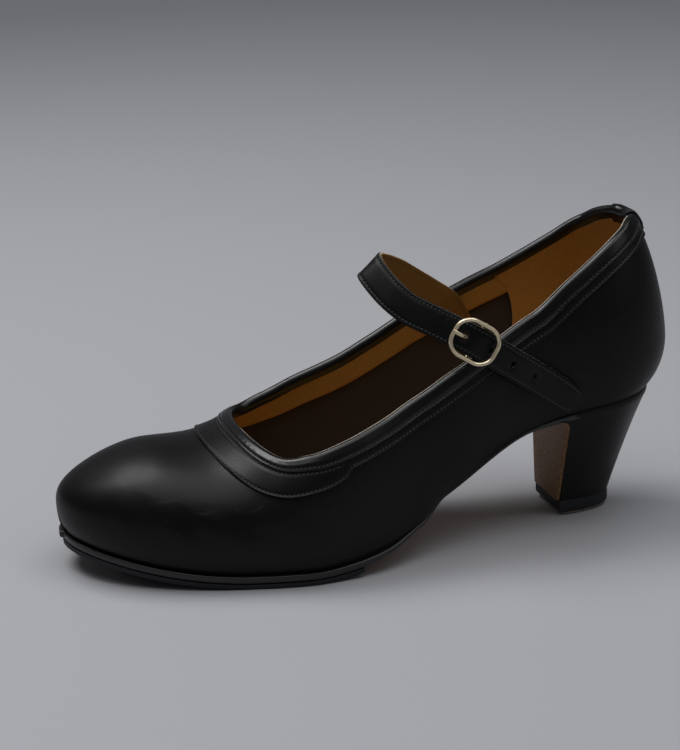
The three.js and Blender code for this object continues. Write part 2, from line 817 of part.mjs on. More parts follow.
const LENGTHS = strapLengths(600);
const STRAP_LENGTH = LENGTHS[LENGTHS.length - 1];

function shareAt(distance) {
  let i = 1;
  while (i < LENGTHS.length - 1 && LENGTHS[i] < distance) i++;
  const t = clamp((distance - LENGTHS[i - 1]) / (LENGTHS[i] - LENGTHS[i - 1]), 0, 1);
  return (i - 1 + t) / (LENGTHS.length - 1);
}

const BUCKLE_AT = LENGTHS[Math.round(buckleShare * (LENGTHS.length - 1))];

// A flat strip along the strap between two distances, off its middle surface
function stripGeometry(from, to, steps, width, thick, off, point) {
  const rings = [];
  for (let i = 0; i <= steps; i++) {
    const distance = lerp(from, to, i / steps);
    const { p, across, out } = strapFrame(shareAt(distance));
    const left = clamp((to - distance) / point, 0, 1);
    const half = (width / 2) * (point > 0 ? Math.sqrt(1 - (1 - left) ** 2) * 0.8 + 0.2 * Math.min(1, left + 0.5) : 1);
    const edge = Math.min(0.45, thick / 3);
    const corner = (w, n) => p.clone().addScaledVector(across, w).addScaledVector(out, off + n);
    rings.push([
      corner(-half, -thick / 2 + edge),
      corner(-half + edge, -thick / 2),
      corner(half - edge, -thick / 2),
      corner(half, -thick / 2 + edge),
      corner(half, thick / 2 - edge),
      corner(half - edge, thick / 2),
      corner(-half + edge, thick / 2),
      corner(-half, thick / 2 - edge),
    ]);
  }
  return bandSolid(rings);
}

// The buckle's own frame: u along the strap, w across it and n outward
const buckleFrame = strapFrame(buckleShare);
const buckleMatrix = new THREE.Matrix4()
  .makeBasis(buckleFrame.along, buckleFrame.out.clone().cross(buckleFrame.along), buckleFrame.out)
  .setPosition(buckleFrame.p);

// Rings of a round wire along a route in one plane, closed or with flat ends
function wireRings(route, radius, closed, sideways) {
  const count = route.length;
  return route.map((p, i) => {
    const before = route[closed ? (i + count - 1) % count : Math.max(0, i - 1)];
    const after = route[closed ? (i + 1) % count : Math.min(count - 1, i + 1)];
    const t = after.clone().sub(before).normalize();
    const e2 = t.clone().cross(sideways).normalize();
    return Array.from({ length: WIRE_SIDES }, (_, k) => {
      const a = (2 * Math.PI * k) / WIRE_SIDES;
      return p.clone().addScaledVector(sideways, radius * Math.cos(a)).addScaledVector(e2, radius * Math.sin(a));
    });
  });
}

const frameLevel = STRAP / 2 + GAP + BUCKLE_WIRE / 2;
const barLevel = -(STRAP / 2 + GAP + TAB + GAP + BUCKLE_WIRE / 2);
const barPlace = 1.0;
const loopInner = BUCKLE_WIRE / 2 + GAP;
const loopOuter = loopInner + TAB;

function buckleFrameGeometry() {
  const [u, w] = [(BUCKLE_LENGTH - BUCKLE_WIRE) / 2, (BUCKLE_WIDTH - BUCKLE_WIRE) / 2];
  const r = BUCKLE_CORNER - BUCKLE_WIRE / 2;
  const route = [];
  const corners = [[1, 1, 0], [-1, 1, 1], [-1, -1, 2], [1, -1, 3]];
  for (const [su, sw, quarter] of corners) {
    for (let i = 0; i <= 5; i++) {
      const a = ((quarter + i / 5) * Math.PI) / 2;
      route.push(new THREE.Vector3(su * (u - r) + r * Math.cos(a), sw * (w - r) + r * Math.sin(a), frameLevel));
    }
  }
  const up = new THREE.Vector3(0, 0, 1);
  const ring = ringSolid(wireRings(route, BUCKLE_WIRE / 2, true, up), { closedAcross: true });
  const dip = 2.0;
  const bar = [
    new THREE.Vector3(barPlace, -w, frameLevel),
    new THREE.Vector3(barPlace, -w, barLevel + dip),
    new THREE.Vector3(barPlace, -w + dip / 3, barLevel + dip / 3),
    new THREE.Vector3(barPlace, -w + dip, barLevel),
    new THREE.Vector3(barPlace, w - dip, barLevel),
    new THREE.Vector3(barPlace, w - dip / 3, barLevel + dip / 3),
    new THREE.Vector3(barPlace, w, barLevel + dip),
    new THREE.Vector3(barPlace, w, frameLevel),
  ];
  const sideways = new THREE.Vector3(1, 0, 0);
  const bent = bandSolid(wireRings(bar, BUCKLE_WIRE / 2 - 0.1, false, sideways));
  return fromManifold(toManifold(ring).add(toManifold(bent))).applyMatrix4(buckleMatrix);
}

function ringAround(inner, outer, width) {
  const profile = [
    new THREE.Vector2(inner, -width / 2),
    new THREE.Vector2(outer, -width / 2),
    new THREE.Vector2(outer, width / 2),
    new THREE.Vector2(inner, width / 2),
    new THREE.Vector2(inner, -width / 2),
  ];
  return new THREE.LatheGeometry(profile, 16).translate(barPlace, 0, 0);
}

function prongGeometry() {
  const barOuter = frameLevel + BUCKLE_WIRE / 2 + GAP + PRONG_WIRE / 2;
  const end = -(BUCKLE_LENGTH - BUCKLE_WIRE) / 2;
  const route = [
    new THREE.Vector3(barPlace - loopOuter + 0.35, 0, barLevel + 0.3),
    new THREE.Vector3(-2.4, 0, -STRAP / 2),
    new THREE.Vector3(-4.2, 0, STRAP / 2 + 0.4),
    new THREE.Vector3(end + 2.6, 0, barOuter - 0.5),
    new THREE.Vector3(end + 1.0, 0, barOuter),
    new THREE.Vector3(end - 1.2, 0, barOuter - 0.2),
  ];
  const sideways = new THREE.Vector3(0, 1, 0);
  const rod = bandSolid(wireRings(route, PRONG_WIRE / 2, false, sideways));
  const eye = ringAround(loopInner - 0.05, loopOuter, PRONG_WIRE + 0.2).translate(0, 0, barLevel);
  return fromManifold(toManifold(eye).add(toManifold(rod))).applyMatrix4(buckleMatrix);
}

function buckleTabGeometry() {
  const off = -(STRAP / 2 + GAP + TAB / 2);
  const strip = stripGeometry(BUCKLE_AT + barPlace, BUCKLE_AT + TAB_LENGTH, 10, TAB_WIDTH, TAB, off, 0);
  const loop = ringAround(loopInner, loopOuter, TAB_WIDTH).translate(0, 0, barLevel).applyMatrix4(buckleMatrix);
  const slotSize = [2 * loopOuter + 1, PRONG_WIRE + 1.0, 2 * loopOuter + 3];
  const slot = new THREE.BoxGeometry(...slotSize).translate(barPlace, 0, barLevel).applyMatrix4(buckleMatrix);
  return fromManifold(toManifold(strip).add(toManifold(loop)).subtract(toManifold(slot)));
}

function strapGeometry() {
  const strip = stripGeometry(0, STRAP_LENGTH, STRAP_STEPS, STRAP_WIDTH, STRAP, 0, STRAP_POINT);
  const hole = new THREE.BoxGeometry(5.2, PRONG_WIRE + 0.8, 8).translate(-3.2, 0, 0).applyMatrix4(buckleMatrix);
  return fromManifold(toManifold(strip).subtract(toManifold(hole)));
}

// Materials and assembly

const blackLeather = new THREE.MeshStandardMaterial({ color: 0x1c1b1c, roughness: 0.42 });
const glossLeather = new THREE.MeshStandardMaterial({ color: 0x121213, roughness: 0.25 });
const tanLeather = new THREE.MeshStandardMaterial({ color: 0xb98d5c, roughness: 0.6 });
const ochreLeather = new THREE.MeshStandardMaterial({ color: 0x9a6c2c, roughness: 0.65 });
const blackRubber = new THREE.MeshStandardMaterial({ color: 0x232427, roughness: 0.8 });
const paleGold = new THREE.MeshStandardMaterial({ color: 0xd9bf86, roughness: 0.25, metalness: 1 });
const darkSteel = new THREE.MeshStandardMaterial({ color: 0x5a4a43, roughness: 0.4, metalness: 1 });

const pieces = [
  ['upper', upperGeometry(), blackLeather],
  ['collar_binding', bindingGeometry(), glossLeather],
  ['collar_facing', facingGeometry(), blackLeather],
  ['throat_overlay', crescentGeometry(), blackLeather],
  ['back_tab', backTabGeometry(), glossLeather],
  ['insole', insoleGeometry(), ochreLeather],
  ['outsole', outsoleGeometry(), tanLeather],
  ['half_sole', halfSoleGeometry(), blackRubber],
  ['toe_nails', toeNailsGeometry(), darkSteel],
  ['heel_block', heelBlockGeometry(), blackLeather],
  ['breast_cover', breastCoverGeometry(), tanLeather],
  ['heel_lift', tipPlate(0, NAIL_HEADS + GAP, NAIL_HEADS + GAP + LIFT), blackRubber],
  ['heel_nails', tipPlate(HEEL_NAIL_INSET, 0, NAIL_HEADS), darkSteel],
  ['strap', strapGeometry(), blackLeather],
  ['buckle_frame', buckleFrameGeometry(), paleGold],
  ['buckle_prong', prongGeometry(), paleGold],
  ['buckle_tab', buckleTabGeometry(), blackLeather],
];

const shoe = new THREE.Group();
for (const [name, geometry, material] of pieces) {
  const mesh = new THREE.Mesh(geometry, material);
  mesh.name = name;
  shoe.add(mesh);
}

const box = new THREE.Box3().setFromObject(shoe);
const middle = box.getCenter(new THREE.Vector3());
shoe.position.set(-middle.x, -middle.y, -box.min.z);

export default shoe;
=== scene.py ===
"""Left flamenco shoe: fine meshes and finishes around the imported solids."""
import math

import bpy
import numpy as np
from bpy.props import FloatProperty, FloatVectorProperty, PointerProperty
from mathutils import Matrix, Vector


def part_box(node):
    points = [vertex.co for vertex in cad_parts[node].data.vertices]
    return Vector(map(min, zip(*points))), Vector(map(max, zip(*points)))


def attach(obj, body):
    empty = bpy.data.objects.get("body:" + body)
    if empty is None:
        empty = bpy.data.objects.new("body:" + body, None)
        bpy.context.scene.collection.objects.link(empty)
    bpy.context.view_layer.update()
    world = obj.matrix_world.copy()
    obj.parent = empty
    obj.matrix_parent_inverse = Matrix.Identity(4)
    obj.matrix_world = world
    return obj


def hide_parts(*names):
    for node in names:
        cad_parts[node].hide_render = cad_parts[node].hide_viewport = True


bl_info = {
    "name": "Flamenco Shoe",
    "version": (1, 0, 0),
    "blender": (4, 5, 0),
    "location": "View3D > Sidebar > Shoe",
    "description": "Dresses the solids of a left flamenco shoe",
    "category": "Object",
}

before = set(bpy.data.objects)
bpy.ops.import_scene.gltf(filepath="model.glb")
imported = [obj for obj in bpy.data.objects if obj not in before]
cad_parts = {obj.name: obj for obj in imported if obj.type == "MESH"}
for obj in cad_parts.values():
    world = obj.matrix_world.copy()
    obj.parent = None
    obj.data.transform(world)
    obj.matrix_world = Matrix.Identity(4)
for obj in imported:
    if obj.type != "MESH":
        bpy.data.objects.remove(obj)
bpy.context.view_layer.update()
MM = 0.001

# Sizes of the last, in millimetres. The toe points along -X and the outer side is -Y.
LENGTH = 240
BALL_WIDTH = 85
BODY_HEIGHT = 70
HEEL_RISE = 48.8
TOE_SPRING = 8.2
TUCK_TURN = math.radians(65)

# Sizes of the pieces
WALL = 2.0
GAP = 0.3
OUTSOLE = 2.6
HALF_SOLE = 2.0
INSOLE = 2.0
LIFT = 5.0
NAIL_HEADS = 1.0
TOE_NAIL_HEADS = 0.8
BINDING_OUTSIDE = 4.5
BINDING_INSIDE = 2.6
FACING_WIDTH = 3.2
CRESCENT_WIDTH = 5.2
STRAP_WIDTH = 11.6
STRAP = 1.8
STRAP_POINT = 9
TAB_WIDTH = 8.6
TAB = 0.9
TAB_LENGTH = 20
BACK_TAB_WIDTH = 15
BACK_TAB_OUTSIDE = 6.5
BACK_TAB_INSIDE = 4.0
BUCKLE_LENGTH = 18
BUCKLE_WIDTH = 16
BUCKLE_CORNER = 5.4
BUCKLE_WIRE = 1.7
PRONG_WIRE = 1.4
BAR_PLACE = 1.0

# Sizes of the heel, measured from the back of the shoe towards the toe
HEEL_BREAST = {"lateral": 47.0, "medial": 40.2}
HEEL_TIP_BACK = 19.9
HEEL_TIP_LENGTH = 24.5
HEEL_TIP_WIDTH = 25.0
HEEL_TIP_SHIFT = 2.2
HEEL_SWEEP = 0.95
TIP_SQUARE = 0.8

# Where along the length the plan starts to round off, and how tightly
TOE_START = 0.6
HEEL_START = 0.22
END_POWER = 2
THROAT = 0.723
THROAT_START = 0.58
THROAT_POWER = 4.5
CRESCENT_START = 0.585
COLUMN_LEAN = 0.6
HALF_SOLE_START = 0.565
TOE_NAIL_START = 0.915
TOE_NAIL_INSET = 2.6
HEEL_NAIL_INSET = 1.2
INSOLE_INSET = 2.5
BLOCK_INSET = 0.5
FOREFOOT = HALF_SOLE + GAP + OUTSOLE + GAP


def table(names, rows):
    """Rows of numbers as named columns."""
    return {name: np.array(column, float) for name, column in zip(names.split(), zip(*rows))}


# Sections across the last, from 0 at the heel back to 1 at the toe tip, in shares of its sizes
SECTIONS = table(
    "station lateral medial swing rise spring wide tuck_lateral tuck_medial girth fullness",
    [
        (0.00, 0.349, 0.353, 0.006, 1.000, 0.000, 0.235, 0.089, 0.089, 1.034, 1.58),
        (0.12, 0.367, 0.368, 0.006, 0.945, 0.000, 0.235, 0.035, 0.035, 1.100, 2.25),
        (0.25, 0.348, 0.359, 0.032, 0.787, 0.000, 0.257, 0.047, 0.053, 1.024, 2.30),
        (0.40, 0.395, 0.356, 0.000, 0.368, 0.000, 0.229, 0.092, 0.094, 1.147, 2.33),
        (0.46, 0.420, 0.368, 0.000, 0.214, 0.000, 0.215, 0.012, 0.092, 1.108, 2.33),
        (0.52, 0.468, 0.390, 0.000, 0.088, 0.000, 0.200, 0.010, 0.080, 1.059, 2.33),
        (0.58, 0.516, 0.429, 0.000, 0.028, 0.000, 0.182, 0.025, 0.063, 0.985, 2.34),
        (0.64, 0.543, 0.464, 0.000, 0.000, 0.000, 0.171, 0.041, 0.047, 0.846, 2.35),
        (0.69, 0.528, 0.480, 0.003, 0.000, 0.000, 0.171, 0.038, 0.040, 0.700, 2.28),
        (0.74, 0.502, 0.488, 0.008, 0.000, 0.000, 0.171, 0.035, 0.035, 0.602, 2.20),
        (0.79, 0.481, 0.475, 0.012, 0.000, 0.084, 0.167, 0.037, 0.032, 0.566, 2.23),
        (0.85, 0.455, 0.447, 0.018, 0.000, 0.301, 0.159, 0.040, 0.029, 0.560, 2.30),
        (1.00, 0.381, 0.399, 0.044, 0.000, 1.175, 0.145, 0.040, 0.024, 0.379, 2.44),
    ],
)

# How far out the topline runs, as a share of the half width, before the throat closes it
TOPLINE = table(
    "station lateral medial",
    [
        (0.06, 0.560, 0.560),
        (0.08, 0.605, 0.650),
        (0.10, 0.682, 0.738),
        (0.15, 0.785, 0.830),
        (0.20, 0.853, 0.861),
        (0.26, 0.914, 0.876),
        (0.34, 0.925, 0.872),
        (0.42, 0.917, 0.849),
        (0.50, 0.898, 0.830),
        (0.58, 0.883, 0.824),
        (0.66, 0.846, 0.808),
        (0.72, 0.860, 0.835),
    ],
)

# How far the edge of the outsole stands out past the upper and how thick it is, in millimetres
SOLE_EDGE = table(
    "station reach thick",
    [
        (0.00, 0.4, 2.6),
        (0.19, 0.3, 2.6),
        (0.28, -0.6, 1.6),
        (0.40, -0.5, 1.5),
        (0.46, 0.3, 1.6),
        (0.53, 1.8, 2.3),
        (0.58, 1.7, 2.6),
        (1.00, 1.6, 2.6),
    ],
)

# The strap's middle line from its sewn end over the instep to the buckle, in shares of
# LENGTH, BALL_WIDTH and BODY_HEIGHT, and how far its width is turned below level
STRAP_ARCH = [
    (0.334, 0.262, 1.165, 43),
    (0.369, 0.226, 1.256, 43),
    (0.405, 0.178, 1.343, 43),
    (0.452, 0.100, 1.451, 43),
    (0.495, 0.000, 1.512, 43),
    (0.481, -0.130, 1.411, 49),
    (0.458, -0.210, 1.336, 52),
    (0.428, -0.280, 1.284, 54),
    (0.401, -0.330, 1.237, 55),
    (0.372, -0.380, 1.184, 55),
]

# The strap's two ends on the quarters: along, up, distance off the outer face, and turn
BAND = 0.8
SEWN_END = [
    (0.302, 1.000, -1.5, 43),
    (0.316, 1.074, -3.3, 43),
]
FREE_END = [
    (0.335, 1.089, 3.5, 55),
    (0.298, 1.008, 3.2, 55),
    (0.261, 0.926, 1.7, 55),
    (0.222, 0.831, 0.6, 55),
    (0.189, 0.744, 0.5, 55),
]

# Soft troughs in the upper. Each runs between two places on the outer face, given as the
# angle round the shoe in degrees (0 heel back, 90 outer side, 180 toe) and the height v.
CREASES = table(
    "angle_a v_a angle_b v_b bow depth width",
    [
        (112, 0.08, 128, 0.52, 0.03, 0.34, 4.2),
        (120, -0.05, 139, 0.46, 0.04, 0.30, 3.6),
        (104, 0.02, 113, 0.40, -0.03, 0.22, 3.4),
        (133, 0.05, 150, 0.42, 0.04, 0.20, 4.6),
        (246, 0.06, 232, 0.50, 0.03, 0.34, 4.0),
        (238, -0.03, 220, 0.44, 0.04, 0.28, 3.8),
        (256, 0.04, 247, 0.38, -0.03, 0.20, 3.4),
        (163, 0.62, 197, 0.60, 0.05, 0.16, 5.5),
        (66, 0.05, 57, 0.34, 0.03, 0.16, 5.0),
        (294, 0.05, 303, 0.34, 0.03, 0.16, 5.0),
        (49, -0.20, 62, -0.05, 0.03, 0.20, 2.4),
        (311, -0.20, 298, -0.05, 0.03, 0.20, 2.4),
    ],
)


class LeatherColours(bpy.types.PropertyGroup):
    """Colours of the shoe's leathers, threads and metal."""

    upper: FloatVectorProperty(
        name="Upper leather", description="Smooth black leather", subtype="COLOR",
        default=(0.0026, 0.0026, 0.0028), min=0, max=1)
    binding: FloatVectorProperty(
        name="Binding leather", description="Glossy black leather of rim and tab", subtype="COLOR",
        default=(0.0028, 0.0028, 0.0031), min=0, max=1)
    lining: FloatVectorProperty(
        name="Lining leather", description="Ochre lining", subtype="COLOR",
        default=(0.46, 0.225, 0.040), min=0, max=1)
    textile: FloatVectorProperty(
        name="Lining textile", description="Dark textile lining of the vamp", subtype="COLOR",
        default=(0.018, 0.009, 0.004), min=0, max=1)
    sole: FloatVectorProperty(
        name="Sole leather", description="Tan sole leather", subtype="COLOR",
        default=(0.50, 0.275, 0.13), min=0, max=1)
    raw_edge: FloatVectorProperty(
        name="Cut edge", description="Pale cut edge of the lining", subtype="COLOR",
        default=(0.50, 0.42, 0.33), min=0, max=1)
    rubber: FloatVectorProperty(
        name="Rubber", description="Half sole and heel lift", subtype="COLOR",
        default=(0.016, 0.017, 0.020), min=0, max=1)
    thread: FloatVectorProperty(
        name="Thread", description="Black waxed thread", subtype="COLOR",
        default=(0.014, 0.014, 0.014), min=0, max=1)
    gold: FloatVectorProperty(
        name="Buckle", description="Pale gold plating", subtype="COLOR",
        default=(0.95, 0.80, 0.56), min=0, max=1)
    nail: FloatVectorProperty(
        name="Nail heads", description="Dark steel nail heads", subtype="COLOR",
        default=(0.20, 0.15, 0.13), min=0, max=1)


class StitchSizes(bpy.types.PropertyGroup):
    """Sizes of stitches, grain, ribs and nail heads."""

    pitch: FloatProperty(
        name="Stitch pitch", description="From one stitch to the next", unit="LENGTH",
        default=1.6 * MM, min=0.8 * MM, max=5 * MM, precision=5)
    length: FloatProperty(
        name="Stitch length", description="Length of thread that shows", unit="LENGTH",
        default=1.2 * MM, min=0.5 * MM, max=4 * MM, precision=5)
    thread: FloatProperty(
        name="Thread", description="Thickness of the thread", unit="LENGTH",
        default=0.50 * MM, min=0.1 * MM, max=1 * MM, precision=5)
    grain: FloatProperty(
        name="Grain", description="Size of one cell of the leather's grain", unit="LENGTH",
        default=0.75 * MM, min=0.2 * MM, max=4 * MM, precision=5)
    rib_pitch: FloatProperty(
        name="Rib pitch", description="From one rib of the half sole to the next", unit="LENGTH",
        default=1.15 * MM, min=0.6 * MM, max=4 * MM, precision=5)
    rib_depth: FloatProperty(
        name="Rib depth", description="Depth between the ribs of the half sole", unit="LENGTH",
        default=0.28 * MM, min=0, max=1 * MM, precision=5)
    nail_head: FloatProperty(
        name="Nail head", description="Width of one nail head", unit="LENGTH",
        default=3.3 * MM, min=1 * MM, max=6 * MM, precision=5)
    crease: FloatProperty(
        name="Creases", description="Share of the full depth of the creases",
        default=1.0, min=0, max=3)


class StageSettings(bpy.types.PropertyGroup):
    """Camera and light."""

    azimuth: FloatProperty(
        name="Azimuth", description="Side from which the camera looks", unit="ROTATION",
        default=math.radians(-16.692))
    elevation: FloatProperty(
        name="Elevation", description="Height of the camera above the horizon", unit="ROTATION",
        default=math.radians(17.739))
    roll: FloatProperty(
        name="Roll", description="Turn of the camera about its view", unit="ROTATION",
        default=math.radians(-0.854))
    distance: FloatProperty(
        name="Distance", description="From the camera to its target", unit="LENGTH",
        default=750.91 * MM, min=0.1)
    target: FloatVectorProperty(
        name="Target", description="Point in the middle of the view", subtype="XYZ",
        default=(-10.58 * MM, 3.44 * MM, 64.25 * MM))
    lens: FloatProperty(name="Lens", description="Focal length in millimetres", default=95.39, min=10)
    floor: FloatVectorProperty(
        name="Floor", description="Colour of the floor", subtype="COLOR",
        default=(0.40, 0.402, 0.425), min=0, max=1)


# Curves through tables

def slopes(xs, ys):
    """Slopes of a curve that never overshoots its rows."""
    secant = np.diff(ys) / np.diff(xs)
    p, q = secant[:-1], secant[1:]
    safe = np.where(np.abs(p + q) < 1e-12, 1, p + q)
    inner = np.where(p * q <= 0, 0, 2 * p * q / safe)
    return np.concatenate([secant[:1], inner, secant[-1:]])


def at(columns, name, x):
    xs, ys = columns["station"], columns[name]
    m = slopes(xs, ys)
    x = np.asarray(x, float)
    i = np.clip(np.searchsorted(xs, x) - 1, 0, len(xs) - 2)
    h = xs[i + 1] - xs[i]
    t = np.clip((x - xs[i]) / h, 0, 1)
    rise = (3 - 2 * t) * t * t
    return (1 - rise) * ys[i] + rise * ys[i + 1] + t * (1 - t) * h * ((1 - t) * m[i] - t * m[i + 1])


def bisect(low, high, is_before):
    for _ in range(50):
        middle = (low + high) / 2
        if is_before(middle):
            low = middle
        else:
            high = middle
    return (low + high) / 2


def unit(v):
    return v / np.maximum(np.linalg.norm(v, axis=-1, keepdims=True), 1e-12)


def lerp(a, b, t):
    return a + (b - a) * t


def smooth(x):
    x = np.clip(x, 0, 1)
    return x * x * (3 - 2 * x)


# The last

def end_share(s):
    toe = np.maximum(0, (s - TOE_START) / (1 - TOE_START)) ** END_POWER
    heel = np.maximum(0, (HEEL_START - s) / HEEL_START) ** END_POWER
    return np.hypot(toe, heel)


def bottom_height(s):
    return FOREFOOT + HEEL_RISE * at(SECTIONS, "rise", s) + TOE_SPRING * at(SECTIONS, "spring", s)


def widest_height(s):
    return bottom_height(s) + BODY_HEIGHT * at(SECTIONS, "wide", s)


def top_height(s):
    return bottom_height(s) + BODY_HEIGHT * at(SECTIONS, "girth", s)


def half_width(s, is_lateral):
    return BALL_WIDTH * np.where(is_lateral, at(SECTIONS, "lateral", s), at(SECTIONS, "medial", s))


def last_point(s, eta, is_lateral):
    rho = np.minimum(1, np.hypot(eta, end_share(s)))
    n = at(SECTIONS, "fullness", s)
    low = widest_height(s)
    y = BALL_WIDTH * at(SECTIONS, "swing", s) + np.where(is_lateral, -1, 1) * half_width(s, is_lateral) * eta
    z = low + (top_height(s) - low) * np.maximum(0, 1 - rho ** n) ** (1 / n)
    return np.stack(np.broadcast_arrays(-s * LENGTH, y, z), -1)


def last_value(p):
    """Zero on the last above its widest line, negative inside."""
    s = -p[..., 0] / LENGTH
    y = p[..., 1] - BALL_WIDTH * at(SECTIONS, "swing", s)
    eta = np.abs(y) / half_width(s, y < 0)
    n = at(SECTIONS, "fullness", s)
    low = widest_height(s)
    up = np.maximum(0, (p[..., 2] - low) / (top_height(s) - low))
    return (eta ** 2 + end_share(s) ** 2) ** (n / 2) + up ** n - 1


def last_gradient(p):
    step = 0.01
    slope = [(last_value(p + d) - last_value(p - d)) / (2 * step) for d in np.eye(3) * step]
    return np.stack(slope, -1)


def onto_last(p):
    for _ in range(3):
        gradient = last_gradient(p)
        p = p - gradient * (last_value(p) / (gradient ** 2).sum(-1))[..., None]
    return p


def topline_share(s, is_lateral):
    around = np.clip((s - THROAT_START) / (THROAT - THROAT_START), 0, 1)
    share = np.where(is_lateral, at(TOPLINE, "lateral", s), at(TOPLINE, "medial", s))
    return share * np.sqrt(1 - around ** THROAT_POWER)


BACK = bisect(0, HEEL_START, lambda s: end_share(s) > topline_share(s, True))
FRONT = bisect(TOE_START, THROAT, lambda s: end_share(s) < topline_share(s, True))


def around_share(a):
    return (1 - np.cos(a)) / 2


def body_point(a, g):
    share = around_share(a)
    is_lateral = np.sin(a) >= 0
    top = lerp(BACK, FRONT, share + COLUMN_LEAN * share * (1 - share))
    at_seam = np.abs(np.sin(a)) < 1e-9
    low = np.where(at_seam, 0, np.sqrt(np.maximum(0, 1 - end_share(share) ** 2)))
    high = np.maximum(0, topline_share(top, is_lateral) ** 2 - end_share(top) ** 2)
    high = np.where(at_seam, 0, np.sqrt(high))
    return last_point(lerp(share, top, g), lerp(low, high, g), is_lateral)


NUDGE = 1e-3


def plan_normal(a):
    t = body_point(a + NUDGE, 0) - body_point(a - NUDGE, 0)
    return unit(np.stack([-t[..., 1], t[..., 0], np.zeros_like(t[..., 0])], -1))


def tuck_point(a, v):
    """The outer face below the widest line, where it turns in to the sole."""
    a, v = np.broadcast_arrays(np.asarray(a, float), v)
    s = around_share(a)
    phi = -v * TUCK_TURN
    share = np.where(np.sin(a) >= 0, at(SECTIONS, "tuck_lateral", s), at(SECTIONS, "tuck_medial", s))
    inset = BALL_WIDTH * share * (1 - np.cos(phi)) / (1 - math.cos(TUCK_TURN))
    point = body_point(a, 0 * a) - plan_normal(a) * inset[..., None]
    bottom = bottom_height(-point[..., 0] / LENGTH)
    point[..., 2] = lerp(point[..., 2], bottom, np.sin(phi) / math.sin(TUCK_TURN))
    return point


def outer_point(a, v):
    """The outer face: v is -1 at the sole, 0 at the widest line and 1 at the topline."""
    a, v = np.broadcast_arrays(np.asarray(a, float), np.asarray(v, float))
    body = body_point(a, 1 - np.cos(np.clip(v, 0, 1) * math.pi / 2))
    return np.where((v >= 0)[..., None], body, tuck_point(a, np.minimum(v, 0)))


def outer_normal(a, v):
    a, v = np.broadcast_arrays(np.asarray(a, float), np.asarray(v, float))
    along = outer_point(a + NUDGE, v) - outer_point(a - NUDGE, v)
    up = outer_point(a, np.minimum(1, v + NUDGE)) - outer_point(a, np.maximum(-1, v - NUDGE))
    low = unit(np.cross(up, along))
    return np.where((v >= 0)[..., None], unit(last_gradient(outer_point(a, v))), low)


class Skin:
    """Lines down the outer face, square to the topline, one for each angle."""

    # How far down the lines go, in how many steps, and the angle to both sides over which the
    # topline's direction is taken
    REACH = 20.0
    STEPS = 50
    SPREAD = 0.05

    def __init__(self, a):
        p = outer_point(a, 1.0)
        along = unit(outer_point(a + self.SPREAD, 1.0) - outer_point(a - self.SPREAD, 1.0))
        normal = unit(last_gradient(p))
        down = np.cross(normal, along)
        points, normals = [p], [normal]
        for _ in range(self.STEPS):
            p = onto_last(p + down * (self.REACH / self.STEPS))
            normal = unit(last_gradient(p))
            down = unit(down - normal * (down * normal).sum(-1, keepdims=True))
            points.append(p)
            normals.append(normal)
        self.a = a
        self.points = np.stack(points)
        self.normals = np.stack(normals)
        self.up = unit(self.points[0] - self.points[2])

    def on(self, distance, off):
        """Points at a distance from the topline and off the outer face."""
        count = len(self.a)
        place = np.clip(np.broadcast_to(distance, count) / self.REACH * self.STEPS, 0, self.STEPS - 1e-6)
        i = place.astype(int)
        t = (place - i)[:, None]
        j = np.arange(count)
        point = lerp(self.points[i, j], self.points[i + 1, j], t)
        normal = unit(lerp(self.normals[i, j], self.normals[i + 1, j], t))
        return point + normal * np.broadcast_to(off, count)[:, None]

    def over(self, turn, off):
        """Points round the rim: turn is 0 at the outer face and pi at the inner one."""
        middle = self.on(0, -WALL / 2)
        radius = WALL / 2 + off
        return middle + radius * (self.normals[0] * math.cos(turn) + self.up * math.sin(turn))

    def arc(self):
        """Length along the topline from the first angle."""
        steps = np.linalg.norm(np.diff(self.points[0], axis=0), axis=-1)
        return np.concatenate([[0], np.cumsum(steps)])


def all_round(count, extra=()):
    """Angles round the shoe, with a few more near the back seam."""
    angles = np.concatenate([np.arange(count) * 2 * math.pi / count, np.asarray(extra, float)])
    return np.unique(np.round(angles % (2 * math.pi), 6))


# Meshes

def row_shift():
    """From the last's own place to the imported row's frame, in millimetres."""
    low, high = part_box("heel_lift")
    return np.array([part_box("upper")[1].x / MM, (low.y + high.y) / 2 / MM - HEEL_TIP_SHIFT, 0])


SHIFT = row_shift()


def signed_volume(points, faces):
    total = 0.0
    for face in faces:
        first = points[face[:, 0]]
        for k in range(1, face.shape[1] - 1):
            total += (first * np.cross(points[face[:, k]], points[face[:, k + 1]])).sum()
    return total


def add_piece(name, parts, materials, replaced=(), sharp=math.radians(38)):
    """One object from parts of (points, list of face arrays, material index) and names of materials."""
    points, faces, slots = [], [], []
    base = 0
    for part_points, part_faces, index in parts:
        part_points = part_points.reshape(-1, 3)
        turned = signed_volume(part_points, part_faces) < 0
        for k, face in enumerate(part_faces):
            face = face[:, ::-1] if turned else face
            faces.extend((face + base).tolist())
            slots.extend([index[k] if isinstance(index, (list, tuple)) else index] * len(face))
        points.append(part_points)
        base += len(part_points)
    mesh = bpy.data.meshes.new(name)
    mesh.from_pydata(((np.concatenate(points) + SHIFT) * MM).tolist(), [], faces)
    for material in materials:
        mesh.materials.append(MATERIALS[material])
    mesh.polygons.foreach_set("material_index", slots)
    mesh.polygons.foreach_set("use_smooth", [True] * len(faces))
    mesh.update()
    mesh.set_sharp_from_angle(angle=sharp)
    obj = bpy.data.objects.new(name, mesh)
    bpy.context.scene.collection.objects.link(obj)
    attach(obj, "root")
    if replaced:
        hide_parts(*replaced)
    return obj


